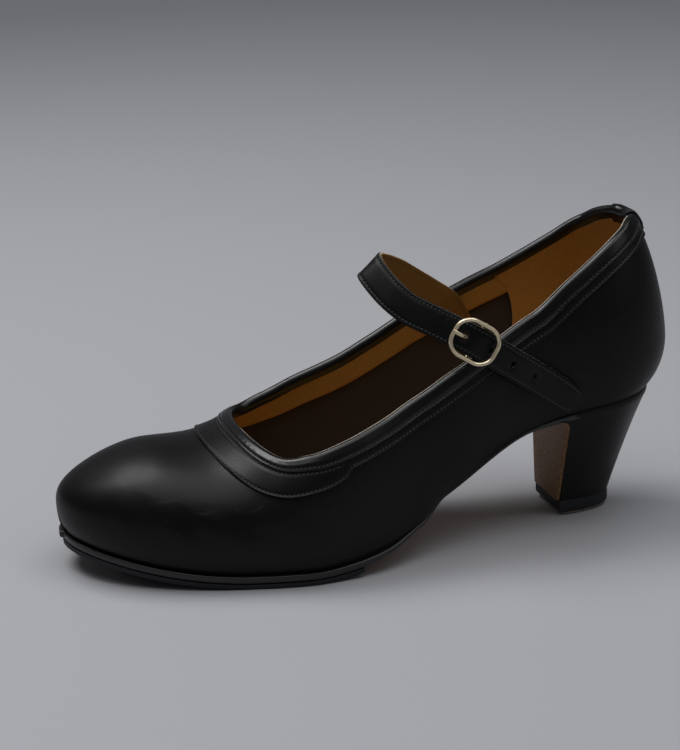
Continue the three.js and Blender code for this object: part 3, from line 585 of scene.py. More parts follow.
def grid_faces(rows, columns, close_rows=False, close_columns=False):
    i = np.arange(rows if close_rows else rows - 1)[:, None]
    j = np.arange(columns if close_columns else columns - 1)[None, :]
    i2, j2 = (i + 1) % rows, (j + 1) % columns
    corners = [i * columns + j, i * columns + j2, i2 * columns + j2, i2 * columns + j]
    return np.stack([np.broadcast_to(c, (i.size, j.size)) for c in corners], -1).reshape(-1, 4)


def tube(rings, close_along=False):
    """Faces of rings of points, along and round, with both ends filled unless it closes."""
    rows, columns = rings.shape[:2]
    faces = [grid_faces(rows, columns, close_rows=close_along, close_columns=True)]
    if not close_along:
        faces.append(np.arange(columns)[None, ::-1])
        faces.append(((rows - 1) * columns + np.arange(columns))[None, :])
    return rings.reshape(-1, 3), faces


def closed_band(loops):
    """A ring whose section is a closed loop: loops[k] holds one line all the way round."""
    rows, columns = loops.shape[:2]
    return loops.reshape(-1, 3), [grid_faces(rows, columns, close_rows=True, close_columns=True)]


def paired_plate(rings):
    """A plate from rings of outline points that start at a pole, top ring to bottom ring."""
    rows, count = rings.shape[:2]
    faces = [grid_faces(rows, count, close_columns=True)]
    half = count // 2
    i = np.arange(1, half)
    quads = np.stack([i, i + 1, (count - i - 1) % count, count - i], -1)[:-1]
    tips = np.array([[0, 1, count - 1, count - 1], [half, half + 1, half - 1, half - 1]])[:, :3]
    base = (rows - 1) * count
    faces += [quads[:, ::-1], tips[:, ::-1], quads + base, tips + base]
    return rings.reshape(-1, 3), faces


# Materials

class Shader:
    """A material's nodes, made with short calls."""

    def __init__(self, name):
        self.material = bpy.data.materials.new(name)
        self.material.use_nodes = True
        self.tree = self.material.node_tree
        self.shader = self.tree.nodes["Principled BSDF"]

    def node(self, kind, **values):
        return add_node(self.tree, kind, **values)

    def group(self, tree, **values):
        node = self.tree.nodes.new("ShaderNodeGroup")
        node.node_tree = tree
        for name, value in values.items():
            node.inputs[name.replace("_", " ")].default_value = value
        return node

    def link(self, source, target):
        self.tree.links.new(source, target)

    def set(self, **values):
        for name, value in values.items():
            self.shader.inputs[name.replace("_", " ")].default_value = value

    def colour(self, value):
        self.shader.inputs["Base Color"].default_value = (*value, 1)

    def feed(self, name, source):
        self.link(source, self.shader.inputs[name])

    def bump(self, height, distance):
        node = self.node("ShaderNodeBump")
        node.inputs["Distance"].default_value = distance
        self.link(height, node.inputs["Height"])
        self.feed("Normal", node.outputs["Normal"])

    def mix_colour(self, factor, first, second):
        """A colour between two, by a factor socket."""
        node = self.node("ShaderNodeMix", data_type="RGBA")
        self.link(factor, node.inputs[0])
        for socket, value in ((node.inputs[6], first), (node.inputs[7], second)):
            if hasattr(value, "is_output"):
                self.link(value, socket)
            else:
                socket.default_value = (*value, 1)
        return node.outputs[2]

    def to_range(self, value, low, high, start=0.0, end=1.0):
        node = self.node("ShaderNodeMapRange")
        for name, number in (("From Min", start), ("From Max", end), ("To Min", low), ("To Max", high)):
            node.inputs[name].default_value = number
        self.link(value, node.inputs["Value"])
        return node.outputs["Result"]


def scaled(colour, share):
    """A colour made darker or paler by a share."""
    return tuple(c * share for c in colour)


def add_node(tree, kind, **values):
    node = tree.nodes.new(kind)
    for name, value in values.items():
        setattr(node, name, value)
    return node


def new_group(name, inputs, outputs):
    """An empty node group with named sockets."""
    tree = bpy.data.node_groups.new(name, "ShaderNodeTree")
    for label, default in inputs.items():
        socket = tree.interface.new_socket(label, in_out="INPUT", socket_type="NodeSocketFloat")
        socket.default_value = default
    for label in outputs:
        tree.interface.new_socket(label, in_out="OUTPUT", socket_type="NodeSocketFloat")
    return tree, tree.nodes.new("NodeGroupInput"), tree.nodes.new("NodeGroupOutput")


def texture(tree, kind, scale, detail=None, rough=None, **values):
    """A texture over the object's own coordinates, whose scale is a number or a socket."""
    place = add_node(tree, "ShaderNodeTexCoord")
    node = add_node(tree, kind, **values)
    tree.links.new(place.outputs["Object"], node.inputs["Vector"])
    if hasattr(scale, "is_output"):
        tree.links.new(scale, node.inputs["Scale"])
    else:
        node.inputs["Scale"].default_value = scale
    if detail is not None:
        node.inputs["Detail"].default_value = detail
    if rough is not None:
        node.inputs["Roughness"].default_value = rough
    return node


def math_node(tree, operation, first, second=0.0, clamp=False):
    node = add_node(tree, "ShaderNodeMath", operation=operation, use_clamp=clamp)
    for socket, value in zip(node.inputs, (first, second)):
        if hasattr(value, "is_output"):
            tree.links.new(value, socket)
        else:
            socket.default_value = value
    return node.outputs["Value"]


def leather_grain_group():
    """Pebbled grain with pores: a height from 0 to 1 and a mask of the creases between cells."""
    tree, given, result = new_group("leather_grain", {"Cells": 1300.0}, ["Height", "Furrow"])
    cells = texture(tree, "ShaderNodeTexVoronoi", given.outputs["Cells"], feature="DISTANCE_TO_EDGE")
    fine_scale = math_node(tree, "MULTIPLY", given.outputs["Cells"], 2.3)
    fine = texture(tree, "ShaderNodeTexNoise", fine_scale, detail=3.0, rough=0.6)
    broad_scale = math_node(tree, "MULTIPLY", given.outputs["Cells"], 0.22)
    broad = texture(tree, "ShaderNodeTexNoise", broad_scale, detail=2.0, rough=0.5)
    walls = math_node(tree, "MULTIPLY", cells.outputs["Distance"], 3.2, clamp=True)
    body = math_node(tree, "MULTIPLY", walls, 0.55)
    grit = math_node(tree, "MULTIPLY", fine.outputs["Fac"], 0.25)
    swell = math_node(tree, "MULTIPLY", broad.outputs["Fac"], 0.6)
    height = math_node(tree, "ADD", math_node(tree, "ADD", body, grit), swell)
    tree.links.new(height, result.inputs["Height"])
    furrow = math_node(tree, "SUBTRACT", 1.0, walls, clamp=True)
    tree.links.new(furrow, result.inputs["Furrow"])
    return tree


def smudge_group():
    """Slow patches of handling and dust, and small pale flecks."""
    tree, given, result = new_group("smudges", {"Size": 30.0}, ["Patches", "Flecks"])
    broad = texture(tree, "ShaderNodeTexNoise", given.outputs["Size"], detail=4.0, rough=0.55)
    flecks = texture(tree, "ShaderNodeTexNoise", 900.0, detail=2.0, rough=0.4)
    patches = add_node(tree, "ShaderNodeMapRange", clamp=True)
    patches.inputs["From Min"].default_value = 0.35
    patches.inputs["From Max"].default_value = 0.68
    tree.links.new(broad.outputs["Fac"], patches.inputs["Value"])
    tree.links.new(patches.outputs["Result"], result.inputs["Patches"])
    spots = add_node(tree, "ShaderNodeMapRange", clamp=True)
    spots.inputs["From Min"].default_value = 0.73
    spots.inputs["From Max"].default_value = 0.78
    tree.links.new(flecks.outputs["Fac"], spots.inputs["Value"])
    tree.links.new(spots.outputs["Result"], result.inputs["Flecks"])
    return tree


GROUPS = {}


def shared(name):
    """A node group, built the first time that it is asked for."""
    makers = {"grain": leather_grain_group, "smudges": smudge_group}
    if name not in GROUPS:
        GROUPS[name] = makers[name]()
    return GROUPS[name]


# Each leather's colour and the share of it that is used, its roughness and how much more the patches
# have, the weight of its finish, how fine its grain is against the setting, the grain's depth in
# millimetres and the strength of pale flecks. A share below one makes a darker copy of a leather that paints
# shade onto a piece.
LEATHERS = {
    "upper": dict(name="upper_leather", colour="upper", roughness=0.38, spread=0.10, coat=0.04,
                  depth=0.024, fleck=0.05, specular=0.19),
    "binding": dict(name="binding_leather", colour="binding", roughness=0.24, spread=0.10, coat=0.14,
                    depth=0.014, specular=0.3),
    "lining": dict(name="lining_leather", colour="lining", roughness=0.58, spread=0.14, grain=1.5,
                   depth=0.01),
    # The strap's inside is the same ochre lining at half its colour: painted shade under the strap.
    "strap_lining": dict(name="strap_lining", colour="lining", share=0.5, roughness=0.60, spread=0.14,
                         grain=1.5, depth=0.01),
    "sole": dict(name="sole_leather", colour="sole", roughness=0.56, spread=0.12, grain=0.45,
                 depth=0.03, specular=0.3),
    # The heel's breast is the tan sole leather at half its colour: painted shade under the shoe.
    "breast": dict(name="breast_leather", colour="sole", share=0.5, roughness=0.56, spread=0.12,
                   grain=0.45, depth=0.03, specular=0.3),
    "edge": dict(name="cut_edge", colour="raw_edge", roughness=0.62, spread=0.1, grain=0.5, depth=0.06),
    "sole_edge": dict(name="sole_edge", colour="upper", roughness=0.34, spread=0.12, coat=0.25,
                      grain=0.6, depth=0.03),
}
FLECK_COLOUR = (0.5, 0.48, 0.45)


def leather(name, colour, roughness, spread, depth, share=1.0, coat=0.0, grain=1.0, fleck=0.0, specular=0.5):
    """Leather with grain, patches of handling and a thin finish."""
    colour = scaled(getattr(bpy.context.scene.shoe_colours, colour), share)
    shader = Shader(name)
    sizes = bpy.context.scene.shoe_sizes
    grain_node = shader.group(shared("grain"), Cells=grain / sizes.grain)
    smudges = shader.group(shared("smudges"), Size=34.0)
    light = tuple(min(1, c * 1.35 + 0.002) for c in colour)
    dark = scaled(colour, 0.72)
    toned = shader.mix_colour(smudges.outputs["Patches"], colour, light)
    furrowed = shader.mix_colour(grain_node.outputs["Furrow"], toned, dark)
    if fleck:
        spots = math_node(shader.tree, "MULTIPLY", smudges.outputs["Flecks"], fleck)
        furrowed = shader.mix_colour(spots, furrowed, FLECK_COLOUR)
    shader.feed("Base Color", furrowed)
    shader.feed("Roughness", shader.to_range(smudges.outputs["Patches"], roughness, roughness + spread))
    shader.bump(grain_node.outputs["Height"], depth * MM)
    shader.set(Coat_Weight=coat, Coat_Roughness=0.22, Specular_IOR_Level=specular)
    return shader.material


def make_materials():
    """Every finish of the shoe, by name."""
    colours = bpy.context.scene.shoe_colours
    made = {key: leather(**look) for key, look in LEATHERS.items()}
    makers = {
        "textile": textile_material, "rubber": rubber_material, "thread": thread_material,
        "gold": gold_material, "nail": nail_material,
    }
    for key, make in makers.items():
        made[key] = make(getattr(colours, key))
    made["hole"] = plain_material("hole_inside", scaled(colours.thread, 0.5), 0.8)
    MATERIALS.update(made)


MATERIALS = {}


def plain_material(name, colour, roughness):
    shader = Shader(name)
    smudges = shader.group(shared("smudges"), Size=60.0)
    shader.feed("Base Color", shader.mix_colour(smudges.outputs["Patches"], colour, scaled(colour, 1.3)))
    shader.set(Roughness=roughness)
    return shader.material


def textile_material(colour):
    """A fine plain weave."""
    shader = Shader("lining_textile")
    waves = []
    for direction in ("X", "Z"):
        wave = texture(shader.tree, "ShaderNodeTexWave", 620.0, detail=1.0, bands_direction=direction)
        wave.inputs["Distortion"].default_value = 0.6
        waves.append(wave.outputs["Fac"])
    weave = math_node(shader.tree, "MAXIMUM", *waves)
    light = scaled(colour, 1.8)
    shader.feed("Base Color", shader.mix_colour(weave, colour, light))
    shader.bump(weave, 0.08 * MM)
    shader.set(Roughness=0.85, Sheen_Weight=0.25, Sheen_Roughness=0.5)
    return shader.material


def rubber_material(colour):
    shader = Shader("black_rubber")
    smudges = shader.group(shared("smudges"), Size=45.0)
    grit = texture(shader.tree, "ShaderNodeTexNoise", 2600.0, detail=2.0)
    pale = scaled(colour, 1.5)
    shader.feed("Base Color", shader.mix_colour(smudges.outputs["Patches"], colour, pale))
    shader.feed("Roughness", shader.to_range(smudges.outputs["Patches"], 0.50, 0.68))
    shader.bump(grit.outputs["Fac"], 0.03 * MM)
    shader.set(Specular_IOR_Level=0.2)
    return shader.material


def thread_material(colour):
    shader = Shader("black_thread")
    twist = texture(shader.tree, "ShaderNodeTexNoise", 5200.0, detail=1.0)
    pale = tuple(c * 2.4 + 0.006 for c in colour)
    shader.feed("Base Color", shader.mix_colour(twist.outputs["Fac"], colour, pale))
    shader.bump(twist.outputs["Fac"], 0.05 * MM)
    shader.set(Roughness=0.42)
    return shader.material


def gold_material(colour):
    shader = Shader("pale_gold")
    smudges = shader.group(shared("smudges"), Size=120.0)
    scratches = texture(shader.tree, "ShaderNodeTexNoise", 3800.0, detail=2.0)
    dull = scaled(colour, 0.72)
    shader.feed("Base Color", shader.mix_colour(smudges.outputs["Patches"], colour, dull))
    shader.feed("Roughness", shader.to_range(smudges.outputs["Patches"], 0.20, 0.32))
    shader.bump(scratches.outputs["Fac"], 0.004 * MM)
    shader.set(Metallic=0.7)
    return shader.material


def nail_material(colour):
    """Dark heads, worn bright in places and coppery in others."""
    shader = Shader("nail_heads")
    smudges = shader.group(shared("smudges"), Size=420.0)
    tint = texture(shader.tree, "ShaderNodeTexNoise", 130.0, detail=3.0)
    dents = texture(shader.tree, "ShaderNodeTexNoise", 1700.0, detail=3.0)
    copper = shader.to_range(tint.outputs["Fac"], 0.0, 1.0, start=0.52, end=0.66)
    base = shader.mix_colour(copper, colour, (0.36, 0.13, 0.07))
    bright = shader.mix_colour(smudges.outputs["Patches"], base, (0.46, 0.42, 0.40))
    shader.feed("Base Color", bright)
    shader.feed("Roughness", shader.to_range(smudges.outputs["Patches"], 0.42, 0.24))
    shader.bump(dents.outputs["Fac"], 0.06 * MM)
    shader.set(Metallic=0.9)
    return shader.material


# Upper

def crease_depth(points):
    """How deep the creases are at each point of the outer face."""
    total = np.zeros(points.shape[:-1])
    share = bpy.context.scene.shoe_sizes.crease
    for k in range(len(CREASES["depth"])):
        row = {name: column[k] for name, column in CREASES.items()}
        t = np.linspace(0, 1, 24)
        bow = row["bow"] * np.sin(math.pi * t)
        angle = np.radians(lerp(row["angle_a"], row["angle_b"], t)) + bow
        line = outer_point(angle, lerp(row["v_a"], row["v_b"], t))
        distance = np.full(points.shape[:-1], 1e9)
        fade = np.zeros(points.shape[:-1])
        for j, p in enumerate(line):
            d = np.linalg.norm(points - p, axis=-1)
            nearer = d < distance
            distance = np.where(nearer, d, distance)
            fade = np.where(nearer, math.sin(math.pi * t[j]) ** 0.7, fade)
        x = distance / row["width"]
        total += share * row["depth"] * fade * (np.exp(-x * x) - 0.45 * np.exp(-(x - 1.9) ** 2 / 0.6))
    return total


# Depth of the back seam's groove and height of the ridges beside it, in millimetres
SEAM_SUNK = 0.32
SEAM_RAISED = 0.14


def back_seam(points):
    """A shallow groove down the middle of the counter, with a soft ridge on both sides."""
    near_back = smooth((0.08 + points[..., 0] / LENGTH) / 0.04)
    y = points[..., 1]
    groove = SEAM_SUNK * np.exp(-(y / 0.45) ** 2)
    ridges = SEAM_RAISED * np.exp(-((np.abs(y) - 1.5) / 0.7) ** 2)
    return near_back * (groove - ridges)


def make_upper():
    near_seam = np.array([0.002, 0.004, 0.007, 0.011, 0.016, 0.022, 0.030])
    a = all_round(512, np.concatenate([near_seam, -near_seam]))
    v = np.concatenate([np.linspace(-1, 0, 12, endpoint=False), np.linspace(0, 1, 66)])
    points, normals = outer_point(a[None, :], v[:, None]), outer_normal(a[None, :], v[:, None])
    fade = smooth((1 - v) / 0.12) * smooth((v + 1) / 0.25)
    sunk = (crease_depth(points) * fade[:, None] + back_seam(points))[..., None]
    outside = points - normals * sunk
    few = np.r_[0:len(v):3, len(v) - 1][::-1]
    inside = (points - normals * WALL)[few]
    feather = lerp(outside[:1], inside[-1:], 0.5)
    feather[..., 2] -= 0.1
    loops = np.concatenate([outside, inside, feather])
    rows, columns = loops.shape[:2]
    faces = grid_faces(rows, columns, close_rows=True, close_columns=True)
    split = (len(v) - 1) * columns
    parts = [(loops, [faces[:split], faces[split:]], [0, 1])]
    add_piece("upper_shell", parts, ["upper", "textile"], ["upper"])


# Lining

STRIP_DEPTH = 11.9
STRIP = 0.95

# The heel grip: its front edge's angle and how far that leans back towards the top, its lower and
# upper edge, where -1 is the wall's lower edge, 0 its widest line and 1 the topline, and how far
# its two faces lie inside the wall
GRIP_FRONT = math.radians(54.5)
GRIP_LEAN = 0.03
GRIP_LOW, GRIP_HIGH = -0.62, 0.93
GRIP_FACES = (0.62, 1.15)


def inner_panel(a, distances, off, thickness):
    """A thin ring on the inside of the wall between two distances from the topline."""
    skin = Skin(a)
    edge = 0.25
    low, high = distances
    path = [low, low + edge, *np.linspace(low + 2 * edge, high - 2 * edge, 8), high - edge, high]
    lift = [0.3, 0.85, *[1.0] * 8, 0.85, 0.3]
    top = [skin.on(d, -WALL - off - thickness * k) for d, k in zip(path, lift)]
    base = [skin.on(d, -WALL - off) for d in path[::-1]]
    return np.stack(top + base)


def make_lining():
    strip = closed_band(inner_panel(all_round(360), (BINDING_INSIDE - 0.8, STRIP_DEPTH), 0.05, STRIP))
    add_piece("collar_lining", [(*strip, 0)], ["lining"])
    add_piece("heel_grip", [heel_grip()], ["lining", "edge"])


def heel_grip():
    """The full height panel round the inside of the heel."""
    across = np.linspace(-1, 1, 120)
    up = np.linspace(GRIP_LOW, GRIP_HIGH, 40)
    a = across[None, :] * (GRIP_FRONT - GRIP_LEAN * smooth((up[:, None] + 0.6) / 1.6))
    v = np.broadcast_to(up[:, None], a.shape)
    points, normals = outer_point(a, v), outer_normal(a, v)
    sides = [points - normals * (WALL + off) for off in GRIP_FACES]
    rows, columns = a.shape
    front, back = grid_faces(rows, columns), grid_faces(rows, columns)[:, ::-1] + rows * columns
    border = np.concatenate([
        np.arange(columns),
        np.arange(1, rows) * columns + columns - 1,
        (rows - 1) * columns + np.arange(columns - 2, -1, -1),
        np.arange(rows - 2, 0, -1) * columns,
    ])
    ahead = np.roll(border, -1)
    rim = np.stack([border, border + rows * columns, ahead + rows * columns, ahead], -1)
    return np.concatenate([s.reshape(-1, 3) for s in sides]), [front, back, rim], [0, 0, 1]


# Collar: binding, facing with its crescent, and back tab

def wrap_loops(skin, outside, inside, low, high, pucker=0.0):
    """Loops of a strip folded over the rim, thick between two distances off the wall."""
    thick = high - low
    groove = 0.16 * thick / BAND
    # Distance below the rim, height off the wall and share of the pleats
    outer = [
        (outside, low + 0.25 * thick, 0), (outside, low + 0.6 * thick, 0),
        (outside - 0.12, low + 0.9 * thick, 0), (outside - 0.35, high + 0.12, 0),
        (outside - 0.60, high + 0.10, 0), (outside - 0.80, high - groove, 0),
        (outside - 1.00, high - groove * 1.2, 0), (outside - 1.25, high - groove * 0.4, 0),
        (outside * 0.60, high + 0.06, 0.3), (outside * 0.46, high + 0.16, 1),
        (outside * 0.32, high + 0.18, 1), (outside * 0.20, high + 0.12, 0.8),
        (outside * 0.09, high + 0.05, 0.4),
    ]
    top = [skin.on(d, off + share * pucker) for d, off, share in outer]
    turns = np.linspace(0, math.pi, 15)
    top += [skin.over(turn, high) for turn in turns]
    inner = [(0.6, high), (inside * 0.5, high), (inside - 0.5, high), (inside - 0.2, high - 0.08 * thick)]
    top += [skin.on(d, -WALL - off) for d, off in inner]
    top += [skin.on(inside, -WALL - low - 0.6 * thick), skin.on(inside, -WALL - low - 0.2 * thick)]
    base = [skin.on(inside - 0.1, -WALL - low)]
    base += [skin.over(turn, low) for turn in turns[::-2]]
    base += [skin.on(outside * 0.5, low), skin.on(outside - 0.1, low)]
    return np.stack(top + base)


BINDING_LOW, BINDING_HIGH = 0.35, 1.15
FACING_LOW, FACING_HIGH = 0.04, 0.72
THROAT_BINDING = 3.2


def pucker_height(skin):
    """Small pleats where the binding turns round the throat and the heel."""
    arc = skin.arc()
    s = around_share(skin.a)
    at_throat = smooth((s - 0.80) / 0.1) * 0.035
    at_heel = smooth((0.03 - s) / 0.03) * 0.03
    along = 0.02 * np.sin(arc * 0.55) * np.sin(arc * 0.083 + 1.3)
    return (at_throat + at_heel) * np.sin(arc * 1.9 + 0.8 * np.sin(arc * 0.37)) + along


def binding_width(a):
    """How far the binding comes down the outside: less round the throat."""
    s = -outer_point(a, 1.0)[:, 0] / LENGTH
    return lerp(BINDING_OUTSIDE, THROAT_BINDING, smooth((s - 0.60) / 0.09))


def band_width(a):
    """The facing's width, which swells to the crescent round the throat."""
    s = -outer_point(a, 1.0)[:, 0] / LENGTH

    def behind(angle):
        return -outer_point(np.array([angle]), 1.0)[0, 0] / LENGTH < CRESCENT_START

    start = math.pi - bisect(0, math.pi, behind)
    u = np.clip(np.abs(math.pi - a) / start, 0, 1)
    crescent = CRESCENT_WIDTH * np.sqrt(1 - u ** 4) * smooth((1 - u) / 0.06)
    return FACING_WIDTH + np.where(s >= CRESCENT_START, crescent, 0)


def facing_loops(skin):
    start = binding_width(skin.a) - 0.4
    end = BINDING_OUTSIDE + GAP + band_width(skin.a)
    thick = FACING_HIGH - FACING_LOW
    near = [0, 0.3, 0.8, 1.1, 1.3, 1.5, 1.8]
    dip_near = [0, 0, 0, 0.10, 0.14, 0.10, 0]
    far = [1.7, 1.45, 1.2, 1.0, 0.8, 0.55, 0.35, 0.15, 0.04, 0]
    lift_far = [0, -0.05, -0.15, -0.19, -0.12, 0.08, 0.15, 0.08, -0.16, -0.5 * thick]
    swell = smooth((band_width(skin.a) - FACING_WIDTH) / 2)
    top = [skin.on(start + d, FACING_HIGH - dip * swell) for d, dip in zip(near, dip_near)]
    middle = np.linspace(0, 1, 8)[1:-1]
    for t in middle:
        off = FACING_HIGH + 0.05 * math.sin(math.pi * t)
        top.append(skin.on(lerp(start + near[-1], end - far[0], t), off))
    top += [skin.on(end - d, FACING_HIGH + lift) for d, lift in zip(far, lift_far)]
    base = [skin.on(lerp(end, start, t), FACING_LOW) for t in (0.02, 0.35, 0.7, 1.0)]
    return np.stack(top + base)


def make_collar():
    skin = Skin(all_round(560))
    binding = wrap_loops(skin, binding_width(skin.a), BINDING_INSIDE,
                         BINDING_LOW, BINDING_HIGH, pucker_height(skin))
    add_piece("rolled_binding", [(*closed_band(binding), 0)], ["binding"],
              ["collar_binding"])
    facing = closed_band(facing_loops(skin))
    add_piece("facing_and_crescent", [(*facing, 0)], ["upper"],
              ["collar_facing", "throat_overlay"])
    add_piece("rim_edge", [rim_edge()], ["edge"])
    add_piece("folded_tab", [folded_tab()], ["binding"], ["back_tab"])


RIM_EDGE_TURN = math.radians(96)
RIM_EDGE = 0.24


def rim_edge():
    """The lining's cut edge, which shows as a fine pale line along the outer side's crown."""
    skin = Skin(np.radians(np.linspace(14, 176, 300)))
    middle = skin.over(RIM_EDGE_TURN, BINDING_HIGH - 0.02)
    out = skin.normals[0]
    loops = [
        middle + RIM_EDGE * (out * math.cos(t) + skin.up * math.sin(t) * 0.8)
        for t in np.linspace(0, 2 * math.pi, 6, endpoint=False)
    ]
    return *tube(np.stack(loops, 1)), 0


def folded_tab():
    """The small glossy tab folded over the rear rim, on the binding and the facing."""
    half = bisect(0, 1.2, lambda a: abs(outer_point(np.array([a]), 1.0)[0, 1]) < BACK_TAB_WIDTH / 2)
    share = np.linspace(-1, 1, 41)
    skin = Skin(half * share)
    arc = skin.arc()
    edge = np.minimum(arc, arc[-1] - arc)
    drop = 0.34 * (1 - smooth(edge / 0.7))
    outside = BACK_TAB_OUTSIDE - 0.9 * share ** 2 + 0.25 * np.sin(share * 7)
    low = BINDING_HIGH + 0.12
    high = low + BAND * 0.55
    pucker = 0.10 * np.sin(arc * 1.1 + 0.6) - drop
    loops = wrap_loops(skin, BACK_TAB_OUTSIDE, BACK_TAB_INSIDE, low, high, pucker)
    step = (BINDING_HIGH - FACING_HIGH) * skin.normals[4]
    loops[:8] -= step
    loops[-1] -= step
    trim = (outside - BACK_TAB_OUTSIDE)[None, :, None] * skin.up[None] * -1
    loops[:5] += trim
    loops[-1:] += trim
    rings = loops.transpose(1, 0, 2)
    return *tube(rings), 0


# Stitches

def capsule(length, width, height):
    """One stitch lying along x, sunk at both ends, as points and faces."""
    stations = np.array([-0.5, -0.36, 0, 0.36, 0.5])
    radius = np.array([0.35, 0.85, 1, 0.85, 0.35])
    sink = np.array([-0.9, -0.25, 0, -0.25, -0.9])
    turns = np.linspace(0, 2 * math.pi, 6, endpoint=False)
    rings = np.stack([
        np.stack([
            np.full(6, s * length),
            width / 2 * r * np.cos(turns),
            height * (r * 0.5 * np.sin(turns) + d),
        ], -1) for s, r, d in zip(stations, radius, sink)
    ])
    return tube(rings)


STITCH_SLANT = math.radians(7)


def stitch_row(points, normals, closed=True, height=0.30):
    """Stitches along a line of points, each turned to the line and the surface."""
    sizes = bpy.context.scene.shoe_sizes
    if closed:
        points, normals = (np.concatenate([x, x[:1]]) for x in (points, normals))
    length = np.concatenate([[0], np.cumsum(np.linalg.norm(np.diff(points, axis=0), axis=-1))])
    count = int(length[-1] / (sizes.pitch / MM))
    where = (np.arange(count) + 0.5) * length[-1] / count

    def sample(values, x):
        return np.stack([np.interp(x, length, values[:, k]) for k in range(3)], -1)

    middle = sample(points, where)
    along = unit(sample(points, where + 0.3) - sample(points, where - 0.3))
    up = sample(normals, where)
    up = unit(up - along * (up * along).sum(-1, keepdims=True))
    side = np.cross(up, along)
    ahead = along * math.cos(STITCH_SLANT) + side * math.sin(STITCH_SLANT)
    side = np.cross(up, ahead)
    shape, faces = capsule(sizes.length / MM, sizes.thread / MM, height)
    placed = middle[:, None] + np.einsum("kj,nji->nki", shape, np.stack([ahead, side, up], 1))
    offsets = (np.arange(count) * len(shape))[:, None, None]
    return placed.reshape(-1, 3), [(f[None] + offsets).reshape(-1, f.shape[1]) for f in faces], 0


def skin_row(skin, distance, off, keep=None):
    points = skin.on(distance, off)
    normals = skin.normals[4]
    if keep is None:
        return stitch_row(points, normals)
    return stitch_row(points[keep], normals[keep], closed=False)


def make_stitches():
    skin = Skin(all_round(720))
    edge = binding_width(skin.a)
    end = BINDING_OUTSIDE + GAP + band_width(skin.a)
    s = -skin.points[0][:, 0] / LENGTH
    rows = [
        skin_row(skin, edge - 0.95, BINDING_HIGH - 0.06),
        skin_row(skin, end - 1.0, FACING_HIGH - 0.08),
        skin_row(skin, edge + 0.9, FACING_HIGH - 0.04, np.where(s > CRESCENT_START + 0.02)[0]),
        skin_row(skin, BINDING_INSIDE + 1.6, -WALL - 0.52),
    ]
    rows += strap_stitches()
    add_piece("stitches", rows, ["thread"])


# Soles

def sole_outline(a, inset):
    reach = at(SOLE_EDGE, "reach", around_share(a)) - inset
    return outer_point(a, -1.0) + plan_normal(a) * np.broadcast_to(reach, a.shape)[:, None]


def station_of(points):
    return -points[..., 0] / LENGTH


def at_height(points, z):
    return np.stack([points[..., 0], points[..., 1], np.broadcast_to(z, points.shape[:-1])], -1)


def outsole_top(s):
    return bottom_height(s) - GAP


def outsole_bottom(s):
    return outsole_top(s) - at(SOLE_EDGE, "thick", s)


def half_sole_top(s):
    return outsole_bottom(s) - GAP


def half_sole_bottom(s):
    return half_sole_top(s) - HALF_SOLE


def rounded_plate(outline_at, bottom, top, radius, bead=0.0):
    """Rings of a plate with rounded edges, from its top inwards round its side to the bottom."""
    rings = []
    turns = np.linspace(0, math.pi / 2, 5)
    insets = [1.6, *(radius * (1 - np.sin(turns))), *(radius * (1 - np.cos(turns)))]
    drops = [-bead, *(radius * (1 - np.cos(turns)))]
    lifts = [*(radius * (1 - np.sin(turns)))]
    for inset, drop in zip(insets[:6], drops):
        line = outline_at(inset)
        rings.append(at_height(line, top(station_of(line)) - drop))
    for inset, lift in zip(insets[6:], lifts):
        line = outline_at(inset)
        rings.append(at_height(line, bottom(station_of(line)) + lift))
    line = outline_at(1.6)
    rings.append(at_height(line, bottom(station_of(line))))
    return np.stack(rings)


def make_soles():
    a = all_round(360)
    under_heel = 1.3 * smooth((0.19 - around_share(a)) / 0.03)
    rings = rounded_plate(
        lambda inset: sole_outline(a, inset + under_heel), outsole_bottom, outsole_top, 0.6, bead=GAP)
    points, faces = paired_plate(rings)
    parts = [(points, faces, [1, 1, 1, 0, 0])]
    add_piece("leather_outsole", parts, ["sole", "sole_edge"], ["outsole"])
    add_piece("ribbed_half_sole", [half_sole()], ["rubber", "rubber"],
              ["half_sole"])
    add_piece("sock", [sock()], ["lining"], ["insole"])


def half_sole():
    """A strip of cross sections from the straight rear edge to the toe, ribbed underneath."""
    sizes = bpy.context.scene.shoe_sizes
    pitch, depth = sizes.rib_pitch / MM, sizes.rib_depth / MM
    steps = int((1 - HALF_SOLE_START) * LENGTH / pitch * 4)
    start = math.acos(1 - 2 * HALF_SOLE_START)
    far = math.pi - 0.004
    fine = np.linspace(start, far, 4000)
    middle = sole_outline(fine, 0.0)
    a = np.interp(np.linspace(middle[0, 0], middle[-1, 0], steps), middle[::-1, 0], fine[::-1])
    lateral, medial = sole_outline(a, 0.0), sole_outline(2 * math.pi - a, 0.0)
    x = lateral[:, 0]
    medial[:, 0] = x
    s = -x / LENGTH
    ribs = depth * (0.5 - 0.5 * np.cos(2 * math.pi * (x - x[0]) / pitch))
    top, low = half_sole_top(s), half_sole_bottom(s)
    edge = 0.55
    across = [
        (0.0, edge, 0), (0.0, 1.0, 0), (edge * 0.3, 1.7, 0),
        (edge, 2.0, 0.0), (1.4, 2.0, 0.0), (1.8, 2.0, 1.0),
    ]
    rows = []
    for inset, drop, rib in across:
        rows.append((lateral, inset, top - drop if drop < 2 else low + rib * ribs))
    rows += [(medial, inset, z) for (_, inset, z) in rows[::-1]]
    loops = []
    direction = unit(medial - lateral)
    for line, inset, z in rows:
        sign = 1 if line is lateral else -1
        room = np.minimum(inset, 0.45 * np.linalg.norm(medial - lateral, axis=-1))
        loops.append(at_height(line + direction * (sign * room)[:, None], z))
    loops += [at_height(medial, top - 0.02), at_height(lateral, top - 0.02)]
    return *tube(np.stack(loops, 1)), 0


def sock():
    a = all_round(300)

    def outline_at(inset):
        return outer_point(a, -1.0) - plan_normal(a) * (INSOLE_INSET + inset)

    rings = rounded_plate(outline_at, bottom_height, lambda s: bottom_height(s) + INSOLE, 0.5)
    return *paired_plate(rings), 0


# Nails

